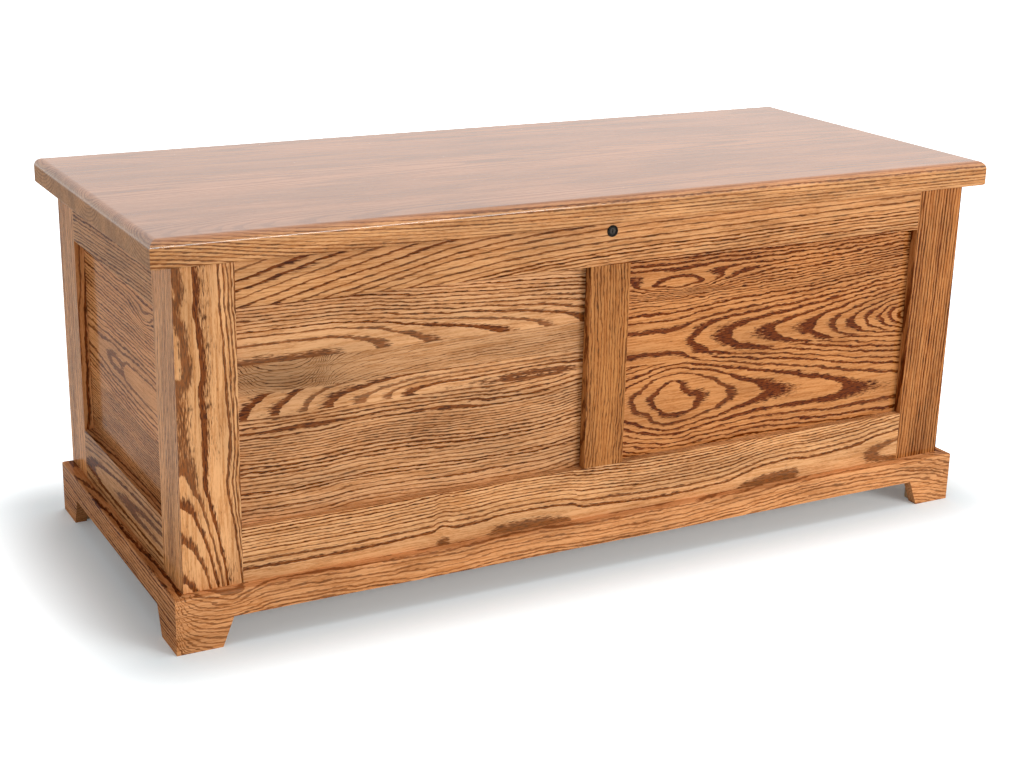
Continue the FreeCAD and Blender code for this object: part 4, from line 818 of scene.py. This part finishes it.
# ---------------------------------------------------------------- hinges
# Three butt hinges of brass-plated steel: a leaf let into the top edge of the back, a leaf let into the
# underside of the lid, and a pin with button tips through the knuckles of both.

BRASS = (0.50, 0.32, 0.12)
BRASS_TARNISH = (0.20, 0.12, 0.05)


def metal(name, clean, dull, grain, low, high):
    """Metal with cloudy tarnish and fine brushing: low and high are its least and most roughness."""
    finish = Finish(name)
    place = finish.board_space((0, 0, 0), RIGHT, DOWN)
    cloud = finish.noise(place, (14.0, 14.0, 14.0), 3.0, 0.6, 3.0)
    brush = finish.noise(place, grain, 2.0, 0.6, 8.0)
    colour = finish.mix(finish.fade(cloud, 0.35, 0.75), clean, dull)
    rough = (cloud * 0.6 + brush * 0.4).math("MULTIPLY_ADD", high - low, low)
    bump = finish.node("Bump", {}, {"Strength": 0.08, "Distance": 0.0002, "Height": brush})
    return finish.surface(Base_Color=colour, Metallic=1.0, Roughness=rough, Normal=bump)


brass = metal("plated_brass", BRASS, BRASS_TARNISH, (20.0, 0.4, 0.4), 0.22, 0.55)
for hinge in ("left", "middle", "right"):
    dress(f"hinge_{hinge}_case_leaf", brass)
    dress(f"hinge_{hinge}_lid_leaf", brass)
dress("hinge_pins", brass)


# ---------------------------------------------------------------- screws
# Countersunk cross-head wood screws of plated steel hold the hinge leaves and the keeper. Each is
# drawn from a line: its radius follows head, shank and point, and its head is cut by a cross.

SCREW_LENGTH = 0.019
SCREW_LINE = [(0.0, 0.97), (0.012, 1.0), (0.086, 0.52), (0.30, 0.50), (0.80, 0.49), (1.0, 0.03)]
HEAD_RADIUS = 0.0034
POINT_RADIUS = 0.0001
THREAD_START = 0.36
THREAD_WAVES = 110.0
THREAD_DEPTH = 0.10
CROSS_LONG, CROSS_WIDE, CROSS_DEEP = 0.0042, 0.0009, 0.002
screws = Recipe("wood_screws", {"Groups": "Int", "Group Step": "Float", "Screws": "Int", "Step": "Float",
                                "First": "Vector", "Downwards": "Float", "Material": "Material"})
shaft = screws.node("GeometryNodeCurvePrimitiveLine", {}, {
    "Start": (0.0, 0.0, 0.0), "End": (0.0, 0.0, SCREW_LENGTH)})
stepped = screws.node("GeometryNodeResampleCurve", {}, {"Curve": shaft, "Count": 90})
along_screw = screws.node("GeometryNodeSplineParameter", {}, {}, "Factor")
body_line = screws.node("ShaderNodeFloatCurve", {}, {"Value": along_screw})
draw_line(body_line.socket.node, SCREW_LINE, "VECTOR")
threaded = along_screw.math("GREATER_THAN", THREAD_START)
ridge = (along_screw * THREAD_WAVES).math("SINE").math("ABSOLUTE") * threaded * -THREAD_DEPTH
radius = ((body_line + ridge) * HEAD_RADIUS).math("MAXIMUM", POINT_RADIUS)
ring = screws.node("GeometryNodeCurvePrimitiveCircle", {"mode": "RADIUS"}, {"Resolution": 20, "Radius": 1.0})
turned = screws.node("GeometryNodeCurveToMesh", {}, {
    "Curve": stepped, "Profile Curve": ring, "Fill Caps": True, "Scale": radius})
cut = turned
for blade_size in ((CROSS_LONG, CROSS_WIDE, CROSS_DEEP), (CROSS_WIDE, CROSS_LONG, CROSS_DEEP)):
    blade = screws.node("GeometryNodeMeshCube", {}, {"Size": blade_size})
    cut = screws.node("GeometryNodeMeshBoolean", {"operation": "DIFFERENCE"},
                      {"Mesh 1": cut, "Mesh 2": blade})
half_turn = screws.entry("Downwards") * math.pi
row = screws.node("GeometryNodeMeshLine", {}, {"Count": screws.entry("Screws"),
                                               "Offset": screws.vector(x=screws.entry("Step"))})
hinges = screws.node("GeometryNodeMeshLine", {}, {"Count": screws.entry("Groups"),
                                                  "Start Location": screws.entry("First"),
                                                  "Offset": screws.vector(x=screws.entry("Group Step"))})
one_row = screws.node("GeometryNodeInstanceOnPoints", {}, {"Points": row, "Instance": cut,
                                                           "Rotation": screws.vector(x=half_turn)})
all_rows = screws.node("GeometryNodeInstanceOnPoints", {}, {"Points": hinges, "Instance": one_row})
screws.end(all_rows, screws.entry("Material"))

for piece_name, body, node, level, downwards in (
        ("case_hinge_screws", "case", "hinge_case_screws", CASE_TOP, 1.0),
        ("lid_hinge_screws", "lid", "hinge_lid_screws", LID_UNDERSIDE, 0.0)):
    first_screw = (-0.326, 0.209, level / MM_PER_METRE)
    piece = screws.build(piece_name, {"Groups": 3, "Group Step": 0.300, "Screws": 3, "Step": 0.026,
                                      "First": first_screw, "Downwards": downwards, "Material": brass},
                         body)
    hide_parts(node)


# ---------------------------------------------------------------- lock
# A small cam lock: a black ring on the front rail, a dark plug with its key slot, and inside the
# rail a nut, and a cam that a half turn of the key swings over the keeper's foot.

black = metal("black_lacquer", (0.008, 0.007, 0.006), (0.02, 0.018, 0.016), (3.0, 3.0, 3.0), 0.25, 0.5)
steel = metal("dull_steel", (0.05, 0.042, 0.036), (0.022, 0.019, 0.017), (3.0, 3.0, 3.0), 0.4, 0.65)
zinc = metal("zinc_plate", (0.62, 0.60, 0.55), (0.38, 0.36, 0.32), (4.0, 4.0, 0.3), 0.25, 0.5)
dress("lock_body", black)
dress("lock_plug", steel)
dress("lock_nut", zinc)
dress("lock_cam", zinc)
dress("lock_cam_screw", brass)


# ---------------------------------------------------------------- keeper and bumpers
# A bent strap of plated steel, screwed up under the lid beside the lock, and two dots of soft
# brown rubber under its front corners that hold the closed lid just clear of the case.

dress("lock_keeper", zinc)
piece = screws.build("keeper_strap_screws", {"Groups": 1, "Group Step": 0.0, "Screws": 2, "Step": 0.014,
                                             "First": (0.0202, -0.18385, 0.4150), "Downwards": 0.0,
                                             "Material": brass}, "lid")
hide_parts("keeper_screws")

RUBBER_BROWN = (0.085, 0.042, 0.022)
RUBBER_BLOOM = (0.15, 0.085, 0.05)
rubber = Finish("brown_rubber")
rubber_place = rubber.board_space((0, 0, 0), RIGHT, DOWN)
bloom = rubber.noise(rubber_place, (2.5, 2.5, 2.5), 3.0, 0.6)
grit = rubber.noise(rubber_place, (0.4, 0.4, 0.4), 2.0, 0.6, 3.0)
rubber_colour = rubber.mix(rubber.fade(bloom, 0.35, 0.7), RUBBER_BROWN, RUBBER_BLOOM)
rubber_bump = rubber.node("Bump", {}, {"Strength": 0.25, "Distance": 0.0002, "Height": grit})
rubber_rough = bloom * 0.2 + 0.55
dress("lid_bumpers", rubber.surface(Base_Color=rubber_colour, Roughness=rubber_rough, Normal=rubber_bump))
